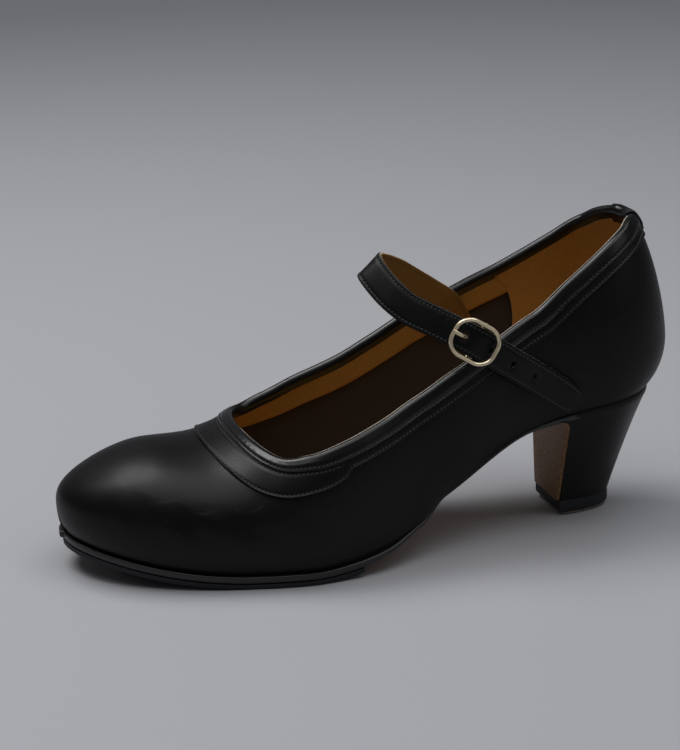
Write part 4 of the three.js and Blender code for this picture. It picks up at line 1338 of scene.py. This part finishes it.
# Where the nails' random draws start, and from one head to the next as a share of its width
NAIL_SEED = 7
HEAD_SPACING = 0.80


def nail_field(outline, low, high, inside):
    """Domes packed over a plate; low and high give the plate's two faces at a station."""
    sizes = bpy.context.scene.shoe_sizes
    pick = np.random.default_rng(NAIL_SEED)
    head = sizes.nail_head / MM
    step = head * HEAD_SPACING
    (x0, y0), (x1, y1) = outline[:, :2].min(0), outline[:, :2].max(0)
    turns = np.linspace(0, 2 * math.pi, 12, endpoint=False)
    parts = []
    for row, x in enumerate(np.arange(x0 + step * 0.5, x1, step * 0.87)):
        for y in np.arange(y0 + step * (0.3 + 0.5 * (row % 2)), y1, step):
            px, py = np.array([x, y]) + pick.normal(0, 0.16, 2)
            radius = head / 2 * pick.uniform(0.88, 1.08)
            tilt = pick.normal(0, 0.05, 2)
            share = pick.uniform(0.55, 1.0)
            if not inside(px, py, radius * 0.82):
                continue
            s = -px / LENGTH
            ground, roof = low(s), high(s)
            rings = []
            for r, drop in ((1.0, 0.0), (1.0, 0.35), (0.86, 0.72), (0.55, 0.94), (0.15, 1.0)):
                depth = (roof - ground - 0.05) * drop * share
                ring_x = px + radius * r * np.cos(turns) * pick.uniform(0.97, 1.03)
                ring_y = py + radius * r * np.sin(turns)
                lean = (tilt[0] * np.cos(turns) + tilt[1] * np.sin(turns)) * radius * r * min(1, drop * 2)
                z = np.maximum(roof - depth + lean, ground)
                rings.append(np.stack([ring_x, ring_y, z], -1))
            parts.append((*tube(np.stack(rings)), 0))
    return parts


def tip_point(t, inset):
    turn = np.abs(t) * math.pi / 2
    x = HEEL_TIP_BACK + inset + (HEEL_TIP_LENGTH - 2 * inset) * (1 - np.cos(turn))
    y = (HEEL_TIP_WIDTH / 2 - inset) * np.sin(turn) ** TIP_SQUARE
    return np.stack([-x, HEEL_TIP_SHIFT - np.sign(t) * y, 0 * x], -1)


def in_polygon(outline):
    """A test whether a disc lies inside an outline, roughly."""
    def test(x, y, margin):
        for dx, dy in ((margin, 0), (-margin, 0), (0, margin), (0, -margin)):
            px, py = x + dx, y + dy
            nx, ny = np.roll(outline[:, 0], -1), np.roll(outline[:, 1], -1)
            crosses = (outline[:, 1] > py) != (ny > py)
            slope = np.where(ny == outline[:, 1], 1, ny - outline[:, 1])
            hit = px < (nx - outline[:, 0]) * (py - outline[:, 1]) / slope + outline[:, 0]
            if (crosses & hit).sum() % 2 == 0:
                return False
        return True
    return test


def make_nails():
    t = np.linspace(-1, 1, 81)
    heel = tip_point(t, HEEL_NAIL_INSET - 0.2)
    plate = np.stack([at_height(heel, NAIL_HEADS), at_height(heel, NAIL_HEADS * 0.55)])
    parts = [(*tube(plate), 0)]
    parts += nail_field(heel, lambda s: 0.0, lambda s: NAIL_HEADS, in_polygon(heel))
    add_piece("heel_nail_heads", parts, ["nail"], ["heel_nails"])
    start = math.acos(1 - 2 * TOE_NAIL_START)
    a = np.linspace(start, 2 * math.pi - start, 81)
    toe = sole_outline(a, TOE_NAIL_INSET)

    def high(s):
        return half_sole_bottom(s) + 0.02

    def low(s):
        return half_sole_bottom(s) - GAP - TOE_NAIL_HEADS

    s = station_of(toe)
    plate = np.stack([at_height(toe, high(s)), at_height(toe, lerp(high(s), low(s), 0.45))])
    parts = [(*tube(plate), 0)] + nail_field(toe, low, high, in_polygon(toe))
    add_piece("toe_nail_heads", parts, ["nail"], ["toe_nails"])


# Heel

TIP_BOTTOM = NAIL_HEADS + GAP + LIFT + GAP
BREAST_FILLET = 4.5
HEEL_COUNT = 161


def heel_ring(level, count):
    """One level line of the heel from its front corner round the back to the other."""
    t = np.linspace(1, -1, count)
    breast = np.where(t >= 0, HEEL_BREAST["lateral"], HEEL_BREAST["medial"])
    seat = sole_outline(t * np.arccos(1 - 2 * breast / LENGTH), BLOCK_INSET)
    seat = at_height(seat, outsole_bottom(station_of(seat)) - GAP)
    point = lerp(seat, tip_point(t, 0), level ** HEEL_SWEEP)
    point[:, 2] = lerp(seat[:, 2], TIP_BOTTOM, level)
    return point


def make_heel():
    levels = np.concatenate([np.linspace(0, 0.16, 14), np.linspace(0.18, 1, 34)])
    height = heel_ring(np.float64(0), 3)[0, 2] - TIP_BOTTOM
    rings, flap = seat_rings(), []
    for level in levels:
        ring = heel_ring(level, HEEL_COUNT)
        forward = max(0.0, BREAST_FILLET - level * height)
        web = BREAST_FILLET - math.sqrt(max(0, BREAST_FILLET ** 2 - forward ** 2))
        corner = np.abs(np.linspace(1, -1, HEEL_COUNT)) ** 60
        ring[:, 0] -= web * corner
        rings.append(ring)
        flap.append(breast_row(ring))
    add_piece("covered_heel", [(*tube(np.stack(rings)), 0)], ["upper"], ["heel_block"])
    parts = [(*tube(np.stack(flap)), 0)]
    # The flap's leather is the sole leather darkened to paint the shade that lies on the heel's breast.
    add_piece("breast_flap", parts, ["breast"], ["breast_cover"])
    add_piece("top_lift", [top_lift()], ["rubber"], ["heel_lift"])


def seat_rings():
    """The heel's cover where it hides the edge of the outsole, from the upper downwards."""
    t = np.linspace(1, -1, HEEL_COUNT)
    breast = np.where(t >= 0, HEEL_BREAST["lateral"], HEEL_BREAST["medial"])
    a = t * np.arccos(1 - 2 * breast / LENGTH)
    rings = []
    for inset, share in ((1.2, 0.0), (0.25, 0.02), (0.05, 0.15), (0.0, 0.5), (0.2, 0.85)):
        line = sole_outline(a, inset)
        s = station_of(line)
        rings.append(at_height(line, lerp(bottom_height(s) - 0.05, outsole_bottom(s) - GAP, share)))
    return rings


# How far in from the heel's corner and how far forward the flap's rounded edge goes
BREAST_PROFILE = ((0.9, -0.1), (0.9, 0.75), (1.15, 1.15), (1.6, 1.35))


def breast_row(ring):
    """One row of the leather flap on the heel's front, with softly rounded edges."""
    outer, inner = ring[0], ring[-1]
    along = unit((inner - outer) * (1, 1, 0))
    forward = np.array([-along[1], along[0], 0])
    row = []
    for inset, off in BREAST_PROFILE:
        row.append(outer + along * inset + forward * off)
    for inset, off in BREAST_PROFILE[::-1]:
        row.append(inner - along * inset + forward * off)
    return np.array(row)


def top_lift():
    t = np.linspace(1, -1, HEEL_COUNT)
    low, high = NAIL_HEADS + 0.1, TIP_BOTTOM - 0.05
    rings = []
    for inset, z in ((0.35, high), (0.05, high - 0.2), (0.0, high - 0.5), (-0.1, high - 1.2),
                     (-0.1, low + 1.3), (0.15, low + 0.6), (0.55, low + 0.2), (1.1, low)):
        rings.append(at_height(tip_point(t, inset), z))
    return *tube(np.stack(rings)), 0


# Strap

def quarter_point(s, z, side):
    is_lateral = side < 0
    low = widest_height(s)
    half = half_width(s, is_lateral)
    if z >= low:
        n = at(SECTIONS, "fullness", s)
        rho = (1 - np.clip((z - low) / (top_height(s) - low), 0, 1) ** n) ** (1 / n)
        y = half * math.sqrt(max(0, rho ** 2 - end_share(s) ** 2))
    else:
        drop = np.clip((low - z) / (BODY_HEIGHT * at(SECTIONS, "wide", s)), 0, 1)
        phi = math.asin(drop * math.sin(TUCK_TURN))
        share = at(SECTIONS, "tuck_lateral" if is_lateral else "tuck_medial", s)
        inset = BALL_WIDTH * share * (1 - math.cos(phi)) / (1 - math.cos(TUCK_TURN))
        y = half * math.sqrt(max(0, 1 - end_share(s) ** 2)) - inset
    return np.array([-s * LENGTH, side * y, z])


def off_quarter(s, z, side, off):
    step = 0.004
    p = quarter_point(s, z, side)
    along = quarter_point(s - step, z, side) - quarter_point(s + step, z, side)
    up = quarter_point(s, z + 0.5, side) - quarter_point(s, z - 0.5, side)
    normal = unit(np.cross(along, up))
    if normal[1] * p[1] < 0:
        normal = -normal
    return p + normal * off


class StrapLine:
    """The strap's middle line, as a centripetal curve through its stations."""

    STEPS = 900

    def __init__(self):
        rows = [(off_quarter(s, up * BODY_HEIGHT, 1, off), turn) for s, up, off, turn in SEWN_END]
        for along, across, up, turn in STRAP_ARCH:
            rows.append((np.array([-along * LENGTH, across * BALL_WIDTH, up * BODY_HEIGHT]), turn))
        rows += [(off_quarter(s, up * BODY_HEIGHT, -1, off), turn) for s, up, off, turn in FREE_END]
        self.knots = np.array([p for p, _ in rows])
        self.turns = np.array([turn for _, turn in rows], float)
        share = np.linspace(0, 1, self.STEPS + 1)
        self.points = np.array([self.point(t) for t in share])
        steps = np.linalg.norm(np.diff(self.points, axis=0), axis=-1)
        self.lengths = np.concatenate([[0], np.cumsum(steps)])
        self.length = self.lengths[-1]
        buckle = (len(rows) - 1 - len(FREE_END)) / (len(rows) - 1)
        self.buckle_at = np.interp(buckle, share, self.lengths)
        self.share = share

    def point(self, t):
        last = len(self.knots) - 1
        place = t * last
        i = min(int(place), last - 1)
        weight = place - i
        knots = self.knots
        before = knots[i - 1] if i > 0 else 2 * knots[0] - knots[1]
        after = knots[i + 2] if i + 2 <= last else 2 * knots[last] - knots[last - 1]
        p = [before, knots[i], knots[i + 1], after]
        gaps = [((b - a) @ (b - a)) ** 0.25 for a, b in zip(p, p[1:])]
        t1 = (p[1] - p[0]) / gaps[0] - (p[2] - p[0]) / (gaps[0] + gaps[1]) + (p[2] - p[1]) / gaps[1]
        t2 = (p[2] - p[1]) / gaps[1] - (p[3] - p[1]) / (gaps[1] + gaps[2]) + (p[3] - p[2]) / gaps[2]
        t1, t2 = t1 * gaps[1], t2 * gaps[1]
        c2 = -3 * p[1] + 3 * p[2] - 2 * t1 - t2
        c3 = 2 * p[1] - 2 * p[2] + t1 + t2
        return p[1] + t1 * weight + c2 * weight ** 2 + c3 * weight ** 3

    def frame(self, distance):
        """Place and directions along, across and out at distances from the sewn end."""
        distance = np.clip(np.atleast_1d(distance), 0, self.length)
        t = np.interp(distance, self.lengths, self.share)

        def place(x):
            return np.stack([np.interp(x, self.share, self.points[:, k]) for k in range(3)], -1)

        p = place(t)
        step = 2.5 / self.STEPS
        along = unit(place(np.minimum(1, t + step)) - place(np.maximum(0, t - step)))
        turn = np.radians(np.interp(t * (len(self.turns) - 1), np.arange(len(self.turns)), self.turns))
        across = np.stack([-np.cos(turn), 0 * turn, -np.sin(turn)], -1)
        across = unit(across - along * (across * along).sum(-1, keepdims=True))
        return p, along, across, unit(np.cross(across, along))


STRAP_LINE = StrapLine()
ROW_INSET = 1.35
STRAP_EDGE = 0.45


def strap_half(distance, width, point):
    left = np.clip((STRAP_LINE.length - distance) / point, 0, 1)
    return width / 2 * (0.8 * np.sqrt(np.maximum(0, 1 - (1 - left) ** 2)) + 0.2 * np.minimum(1, left + 0.5))


def strap_rings():
    """Sections of the strap: black outside and edges, a thin ochre lining inside."""
    length = STRAP_LINE.length
    distance = np.concatenate([np.linspace(0, length - STRAP_POINT, 200, endpoint=False),
                               length - STRAP_POINT * np.linspace(1, 0, 30) ** 1.6])
    p, _, across, out = STRAP_LINE.frame(distance)
    half = np.maximum(0.9, strap_half(distance, STRAP_WIDTH, STRAP_POINT))
    top, low = STRAP / 2, -STRAP / 2
    lining = low + 0.55
    soft = 0.06 * np.sin(distance * 0.21) * np.sin(distance * 0.057 + 0.7)
    section = []
    for side in (1, -1):
        rows = [(ROW_INSET + 1.6, top + 0.06), (ROW_INSET + 0.7, top + 0.02), (ROW_INSET + 0.3, top - 0.10),
                (ROW_INSET, top - 0.15), (ROW_INSET - 0.3, top - 0.09), (ROW_INSET - 0.65, top + 0.02),
                (STRAP_EDGE, top - 0.03), (0.15, top - 0.22), (0.0, top - 0.55), (0.0, lining + 0.1),
                (0.12, lining)]
        rows = rows if side > 0 else rows[::-1]
        section += [(side, inset, n) for inset, n in rows]
        if side > 0:
            section += [(1, 0.10, lining - 0.02), (1, 0.06, low + 0.10), (1, 0.35, low),
                        (1, 3.0, low - 0.02), (-1, 3.0, low - 0.02), (-1, 0.35, low),
                        (-1, 0.06, low + 0.10), (-1, 0.10, lining - 0.02)]
    rings = []
    for side, inset, n in section:
        w = side * np.maximum(half - inset, 0.05)
        rings.append(p + across * w[:, None] + out * (n + soft)[:, None])
    return np.stack(rings, 1)


def strap_stitches():
    distance = np.linspace(3, STRAP_LINE.length - 3.2, 400)
    p, _, across, out = STRAP_LINE.frame(distance)
    half = strap_half(distance, STRAP_WIDTH, STRAP_POINT)
    rows = []
    for side in (1, -1):
        w = side * (half - ROW_INSET)
        rows.append(stitch_row(p + across * w[:, None] + out * (STRAP / 2 - 0.05), out, closed=False))
        short = distance < STRAP_LINE.buckle_at - 8
        under = (p + across * w[:, None] - out * (STRAP / 2 - 0.02))[short]
        rows.append(stitch_row(under, -out[short], closed=False, height=0.22))
    return rows


# Holes in the strap: from one to the next, width, how many, how far the first lies from the
# buckle's middle towards the sewn end, and how many times longer than wide that one is worn
HOLE_PITCH = 10.8
HOLE = 1.9
HOLE_COUNT = 4
FIRST_HOLE = 3.6
USED_HOLE = 1.35

# Which strips between the section's points are the lining's face and which its pale cut edges
LINING_FACE = [*range(13, 18)]
CUT_EDGES = [*range(9, 13), *range(18, 21)]


def make_strap():
    rings = strap_rings()
    points, faces = tube(rings)
    count = rings.shape[1]
    column = np.arange(len(faces[0])) % count
    inner = np.isin(column, LINING_FACE)
    raw = np.isin(column, CUT_EDGES)
    groups = [faces[0][~inner & ~raw], faces[0][inner], faces[0][raw], faces[1], faces[2]]
    # The lining's face takes the darkened lining, which paints the shade under the strap.
    looks = ["upper", "strap_lining", "edge", "hole"]
    strap = add_piece("instep_strap", [(points, groups, [0, 1, 2, 0, 0])], looks, ["strap"])
    cutters = []
    for k in range(HOLE_COUNT):
        distance = STRAP_LINE.buckle_at - FIRST_HOLE + k * HOLE_PITCH
        p, along, across, out = (x[0] for x in STRAP_LINE.frame(distance))
        t = np.linspace(0, 2 * math.pi, 24, endpoint=False)
        long = USED_HOLE if k == 0 else 1.0
        ring = np.stack([
            along * (long * HOLE / 2 * math.cos(x)) + across * (HOLE / 2 * math.sin(x)) for x in t
        ])
        cutters.append((*tube(np.stack([p + ring - out * 4, p + ring + out * 4])), 0))
    cut_holes(strap, cutters)


def cut_holes(obj, parts):
    """Takes the cutters' volume away from a piece."""
    cutter = add_piece(obj.name + "_cutter", parts, ["hole"])
    modifier = obj.modifiers.new("holes", "BOOLEAN")
    modifier.operation = "DIFFERENCE"
    modifier.solver = "EXACT"
    modifier.material_mode = "TRANSFER"
    modifier.object = cutter
    bpy.context.view_layer.update()
    graph = bpy.context.evaluated_depsgraph_get()
    mesh = bpy.data.meshes.new_from_object(obj.evaluated_get(graph))
    obj.modifiers.clear()
    old = obj.data
    obj.data = mesh
    mesh.name = old.name + "_cut"
    bpy.data.meshes.remove(old)
    spent = cutter.data
    bpy.data.objects.remove(cutter)
    bpy.data.meshes.remove(spent)


# Buckle

FRAME_LEVEL = STRAP / 2 + GAP + BUCKLE_WIRE / 2
BAR_LEVEL = -(STRAP / 2 + GAP + TAB + GAP + BUCKLE_WIRE / 2)
LOOP_INNER = BUCKLE_WIRE / 2 + GAP
LOOP_OUTER = LOOP_INNER + TAB


def buckle_place(points):
    """From the buckle's own frame, along the strap, across it and outward, to the last's."""
    p, along, _, out = (x[0] for x in STRAP_LINE.frame(STRAP_LINE.buckle_at))
    return p + points @ np.stack([along, np.cross(out, along), out])


def buckle_part(rings, close_along=False):
    """A tube drawn in the buckle's own frame, as one part of a piece."""
    return buckle_place(rings.reshape(-1, 3)), tube(rings, close_along=close_along)[1], 0


def wire(route, width, depth, sideways, sides=16, close=False):
    """Rings of an oval wire along a route; width lies in its plane and depth across it."""
    if close:
        ahead = np.roll(route, -1, 0) - np.roll(route, 1, 0)
    else:
        ahead = np.gradient(route, axis=0)
    t = unit(ahead)
    e2 = unit(np.cross(t, sideways))
    turns = np.linspace(0, 2 * math.pi, sides, endpoint=False)
    ring = [route + sideways * (depth / 2 * math.cos(k)) + e2 * (width / 2 * math.sin(k)) for k in turns]
    return np.stack(ring, 1)


def smooth_route(knots, count):
    """A rounded line through knots."""
    knots = np.asarray(knots, float)
    padded = np.concatenate([2 * knots[:1] - knots[1:2], knots, 2 * knots[-1:] - knots[-2:-1]])
    out = []
    for i in range(len(knots) - 1):
        p0, p1, p2, p3 = padded[i:i + 4]
        for t in np.linspace(0, 1, count, endpoint=False):
            out.append(0.5 * (2 * p1 + (p2 - p0) * t + (2 * p0 - 5 * p1 + 4 * p2 - p3) * t * t
                              + (3 * p1 - p0 - 3 * p2 + p3) * t ** 3))
    out.append(knots[-1])
    return np.array(out)


def make_buckle():
    u, w = (BUCKLE_LENGTH - BUCKLE_WIRE) / 2, (BUCKLE_WIDTH - BUCKLE_WIRE) / 2
    r = BUCKLE_CORNER + 0.9 - BUCKLE_WIRE / 2
    route = []
    for quarter, (su, sw) in enumerate(((1, 1), (-1, 1), (-1, -1), (1, -1))):
        for a in (quarter + np.linspace(0, 1, 18)) * math.pi / 2:
            route.append((su * (u - r) + r * math.cos(a), sw * (w - r) + r * math.sin(a), FRAME_LEVEL))
    route = np.array(route)
    bow = 0.8 * (1 - (route[:, 1] / w) ** 2)
    route[:, 0] += np.sign(route[:, 0]) * bow * 0.6
    up, ahead, across = np.eye(3)[2], np.eye(3)[0], np.eye(3)[1]
    ring = wire(route, BUCKLE_WIRE * 0.92, BUCKLE_WIRE * 1.12, up, 20, close=True)
    dip = 2.0
    bar = smooth_route([
        (BAR_PLACE, -w, FRAME_LEVEL), (BAR_PLACE, -w, BAR_LEVEL + dip), (BAR_PLACE, -w + dip, BAR_LEVEL),
        (BAR_PLACE, w - dip, BAR_LEVEL), (BAR_PLACE, w, BAR_LEVEL + dip), (BAR_PLACE, w, FRAME_LEVEL),
    ], 10)
    parts = [buckle_part(ring, close_along=True)]
    inner = wire(bar, BUCKLE_WIRE - 0.2, BUCKLE_WIRE - 0.2, ahead)
    parts.append(buckle_part(inner))
    add_piece("buckle_ring", parts, ["gold"], ["buckle_frame"])
    level = FRAME_LEVEL + BUCKLE_WIRE / 2 + GAP + PRONG_WIRE / 2
    end = -u
    knots = [
        (BAR_PLACE - LOOP_OUTER + 0.35, 0, BAR_LEVEL + 0.3), (-2.4, 0, -STRAP / 2),
        (-4.2, 0, STRAP / 2 + 0.4), (end + 2.6, 0, level - 0.5), (end + 1.0, 0, level),
        (end - 1.2, 0, level - 0.2),
    ]
    rod = wire(smooth_route(knots, 8), PRONG_WIRE * 0.8, PRONG_WIRE, across)
    a = np.linspace(0, 2 * math.pi, 32, endpoint=False)
    middle = (LOOP_INNER + LOOP_OUTER) / 2
    eye_line = np.stack([BAR_PLACE + middle * np.cos(a), 0 * a, BAR_LEVEL + middle * np.sin(a)], -1)
    eye = wire(eye_line, TAB, PRONG_WIRE, across, close=True)
    parts = [buckle_part(rod), buckle_part(eye, close_along=True)]
    add_piece("prong", parts, ["gold"], ["buckle_prong"])
    add_piece("buckle_keeper", tab_parts(), ["upper"], ["buckle_tab"])


def tab_parts():
    """The short tab under the strap, folded round the centre bar on both sides of the prong."""
    distance = STRAP_LINE.buckle_at + np.linspace(BAR_PLACE, TAB_LENGTH, 50)
    p, _, across, out = STRAP_LINE.frame(distance)
    level = -(STRAP / 2 + GAP + TAB / 2)
    half = TAB_WIDTH / 2
    rings = []
    for w, n in ((-half, -0.25), (-half + 0.25, -0.5), (half - 0.25, -0.5), (half, -0.25),
                 (half, 0.25), (half - 0.25, 0.5), (-half + 0.25, 0.5), (-half, 0.25)):
        rings.append(p + across * w + out * (level + n * TAB))
    parts = [(*tube(np.stack(rings, 1)), 0)]
    a = np.linspace(0.5 * math.pi, 1.5 * math.pi, 24)
    slot = PRONG_WIRE / 2 + 0.5
    for y0, y1 in ((-half, -slot), (slot, half)):
        loop = []
        for radius, y in ((LOOP_INNER, y0), (LOOP_OUTER, y0), (LOOP_OUTER, y1), (LOOP_INNER, y1)):
            x, z = BAR_PLACE + radius * np.cos(a), BAR_LEVEL + radius * np.sin(a)
            loop.append(np.stack([x, 0 * a + y, z], -1))
        parts.append(buckle_part(np.stack(loop, 1)))
    return parts


# Stage

# Each light's place and size in metres, power in watts and colour
LIGHTS = {
    "softbox": dict(place=(-0.42, 0.42, 1.15), size=(0.7, 0.55), power=8.0, colour=(1.0, 1.0, 1.0)),
    "overhead": dict(place=(0.0, -0.2, 2.0), size=(2.4, 1.8), power=26.0, colour=(0.98, 0.99, 1.0)),
    "fill": dict(place=(0.9, -0.8, 0.8), size=(0.8, 0.8), power=1.0, colour=(1.0, 0.99, 0.97)),
}

# The point that all lights face, in metres, the camera's sensor in millimetres, and the sky
LIT_POINT = (0, 0, 0.05)
SENSOR_WIDTH = 36
SKY_COLOUR = (0.80, 0.82, 0.86, 1)
SKY_STRENGTH = 0.10

# The floor's sheet in metres: its reach to the front and to each side, where it begins to bend up
# at the back, the bend's radius and the height of its top
FLOOR_HALF = 4.0
FLOOR_BACK = 1.6
FLOOR_BEND = 0.8
FLOOR_TOP = 3.0


def make_stage():
    settings = bpy.context.scene.shoe_stage
    az, el = settings.azimuth, settings.elevation
    back = Vector((math.sin(az) * math.cos(el), -math.cos(az) * math.cos(el), math.sin(el)))
    right = Vector((math.cos(az), math.sin(az), 0))
    up = back.cross(right)
    turned_right = right * math.cos(settings.roll) + up * math.sin(settings.roll)
    turned_up = back.cross(turned_right)
    camera = bpy.data.cameras.new("photo_view")
    camera.lens = settings.lens
    camera.sensor_width = SENSOR_WIDTH
    camera.clip_start = 0.01
    eye = bpy.data.objects.new("photo_view", camera)
    rotation = Matrix((turned_right, turned_up, back)).transposed().to_4x4()
    eye.matrix_world = Matrix.Translation(Vector(settings.target) + back * settings.distance) @ rotation
    bpy.context.scene.collection.objects.link(eye)
    bpy.context.scene.camera = eye
    make_floor(settings.floor)
    for name, light in LIGHTS.items():
        add_light(name, **light)
    world = bpy.data.worlds.new("studio")
    world.use_nodes = True
    sky = world.node_tree.nodes["Background"]
    sky.inputs["Color"].default_value = SKY_COLOUR
    sky.inputs["Strength"].default_value = SKY_STRENGTH
    bpy.context.scene.world = world
    bpy.context.scene.view_settings.view_transform = "Standard"


def make_floor(colour):
    """A wide floor that curves up into a backdrop, as one sheet."""
    profile = [(-FLOOR_HALF, 0.0)]
    for t in np.linspace(0, math.pi / 2, 24):
        profile.append((FLOOR_BACK + FLOOR_BEND * math.sin(t), FLOOR_BEND * (1 - math.cos(t))))
    profile.append((FLOOR_BACK + FLOOR_BEND, FLOOR_TOP))
    points = [(x, y, z) for y, z in profile for x in (-FLOOR_HALF, FLOOR_HALF)]
    faces = [(2 * k, 2 * k + 1, 2 * k + 3, 2 * k + 2) for k in range(len(profile) - 1)]
    mesh = bpy.data.meshes.new("floor")
    mesh.from_pydata(points, [], faces)
    mesh.polygons.foreach_set("use_smooth", [True] * len(faces))
    shader = Shader("pale_floor")
    shader.colour(colour)
    shader.set(Roughness=0.55, Specular_IOR_Level=0.3)
    mesh.materials.append(shader.material)
    floor = bpy.data.objects.new("floor", mesh)
    bpy.context.scene.collection.objects.link(floor)


def add_light(name, place, size, power, colour):
    light = bpy.data.lights.new(name, "AREA")
    light.shape = "RECTANGLE"
    light.size, light.size_y = size
    light.energy = power
    light.color = colour
    lamp = bpy.data.objects.new(name, light)
    lamp.location = place
    aim = Vector(LIT_POINT) - Vector(place)
    lamp.rotation_euler = aim.to_track_quat("-Z", "Y").to_euler()
    bpy.context.scene.collection.objects.link(lamp)


# Operators

class ShoeOperator:
    """What every step has in common: it runs its own makers."""

    bl_options = {"REGISTER", "UNDO"}

    def execute(self, context):
        for make in self.makers:
            make()
        return {"FINISHED"}


class SHOE_OT_finishes(ShoeOperator, bpy.types.Operator):
    """Make the leathers, textile, rubber, thread and metals"""

    bl_idname = "shoe.finishes"
    bl_label = "Finishes"
    makers = (make_materials,)


class SHOE_OT_upper(ShoeOperator, bpy.types.Operator):
    """Make the upper's shell with its creases and back seam"""

    bl_idname = "shoe.upper"
    bl_label = "Upper"
    makers = (make_upper,)


class SHOE_OT_lining(ShoeOperator, bpy.types.Operator):
    """Make the collar lining and the heel grip"""

    bl_idname = "shoe.lining"
    bl_label = "Lining"
    makers = (make_lining,)


class SHOE_OT_collar(ShoeOperator, bpy.types.Operator):
    """Make the binding, the facing with its crescent and the back tab"""

    bl_idname = "shoe.collar"
    bl_label = "Collar"
    makers = (make_collar,)


class SHOE_OT_soles(ShoeOperator, bpy.types.Operator):
    """Make the outsole, the ribbed half sole and the sock"""

    bl_idname = "shoe.soles"
    bl_label = "Soles"
    makers = (make_soles,)


class SHOE_OT_heel(ShoeOperator, bpy.types.Operator):
    """Make the covered heel, its breast flap and its lift"""

    bl_idname = "shoe.heel"
    bl_label = "Heel"
    makers = (make_heel,)


class SHOE_OT_nails(ShoeOperator, bpy.types.Operator):
    """Make the nail heads under the toe and the heel"""

    bl_idname = "shoe.nails"
    bl_label = "Nails"
    makers = (make_nails,)


class SHOE_OT_strap(ShoeOperator, bpy.types.Operator):
    """Make the instep strap with its holes"""

    bl_idname = "shoe.strap"
    bl_label = "Strap"
    makers = (make_strap,)


class SHOE_OT_buckle(ShoeOperator, bpy.types.Operator):
    """Make the buckle, its prong and the tab that holds it"""

    bl_idname = "shoe.buckle"
    bl_label = "Buckle"
    makers = (make_buckle,)


class SHOE_OT_stitches(ShoeOperator, bpy.types.Operator):
    """Make every row of stitches"""

    bl_idname = "shoe.stitches"
    bl_label = "Stitches"
    makers = (make_stitches,)


class SHOE_OT_stage(ShoeOperator, bpy.types.Operator):
    """Make the floor, the lights and the camera"""

    bl_idname = "shoe.stage"
    bl_label = "Stage"
    makers = (make_stage,)


STEPS = (
    SHOE_OT_finishes, SHOE_OT_stage, SHOE_OT_upper, SHOE_OT_lining, SHOE_OT_collar, SHOE_OT_soles,
    SHOE_OT_heel, SHOE_OT_nails, SHOE_OT_strap, SHOE_OT_buckle, SHOE_OT_stitches,
)


class SHOE_PT_steps(bpy.types.Panel):
    """The shoe's steps and settings."""

    bl_label = "Flamenco shoe"
    bl_idname = "SHOE_PT_steps"
    bl_space_type = "VIEW_3D"
    bl_region_type = "UI"
    bl_category = "Shoe"

    def draw(self, context):
        for step in STEPS:
            self.layout.operator(step.bl_idname)
        for settings in (context.scene.shoe_colours, context.scene.shoe_sizes, context.scene.shoe_stage):
            box = self.layout.box()
            for name in settings.bl_rna.properties.keys():
                if name not in ("rna_type", "name"):
                    box.prop(settings, name)


SETTINGS = {"shoe_colours": LeatherColours, "shoe_sizes": StitchSizes, "shoe_stage": StageSettings}


def register():
    for kind in (*SETTINGS.values(), *STEPS, SHOE_PT_steps):
        bpy.utils.register_class(kind)
    for name, kind in SETTINGS.items():
        setattr(bpy.types.Scene, name, PointerProperty(type=kind))


def unregister():
    for name in SETTINGS:
        delattr(bpy.types.Scene, name)
    for kind in (SHOE_PT_steps, *STEPS[::-1], *list(SETTINGS.values())[::-1]):
        bpy.utils.unregister_class(kind)


def main():
    register()
    for step in STEPS:
        group, name = step.bl_idname.split(".")
        getattr(getattr(bpy.ops, group), name)()


if __name__ == "__main__":
    main()
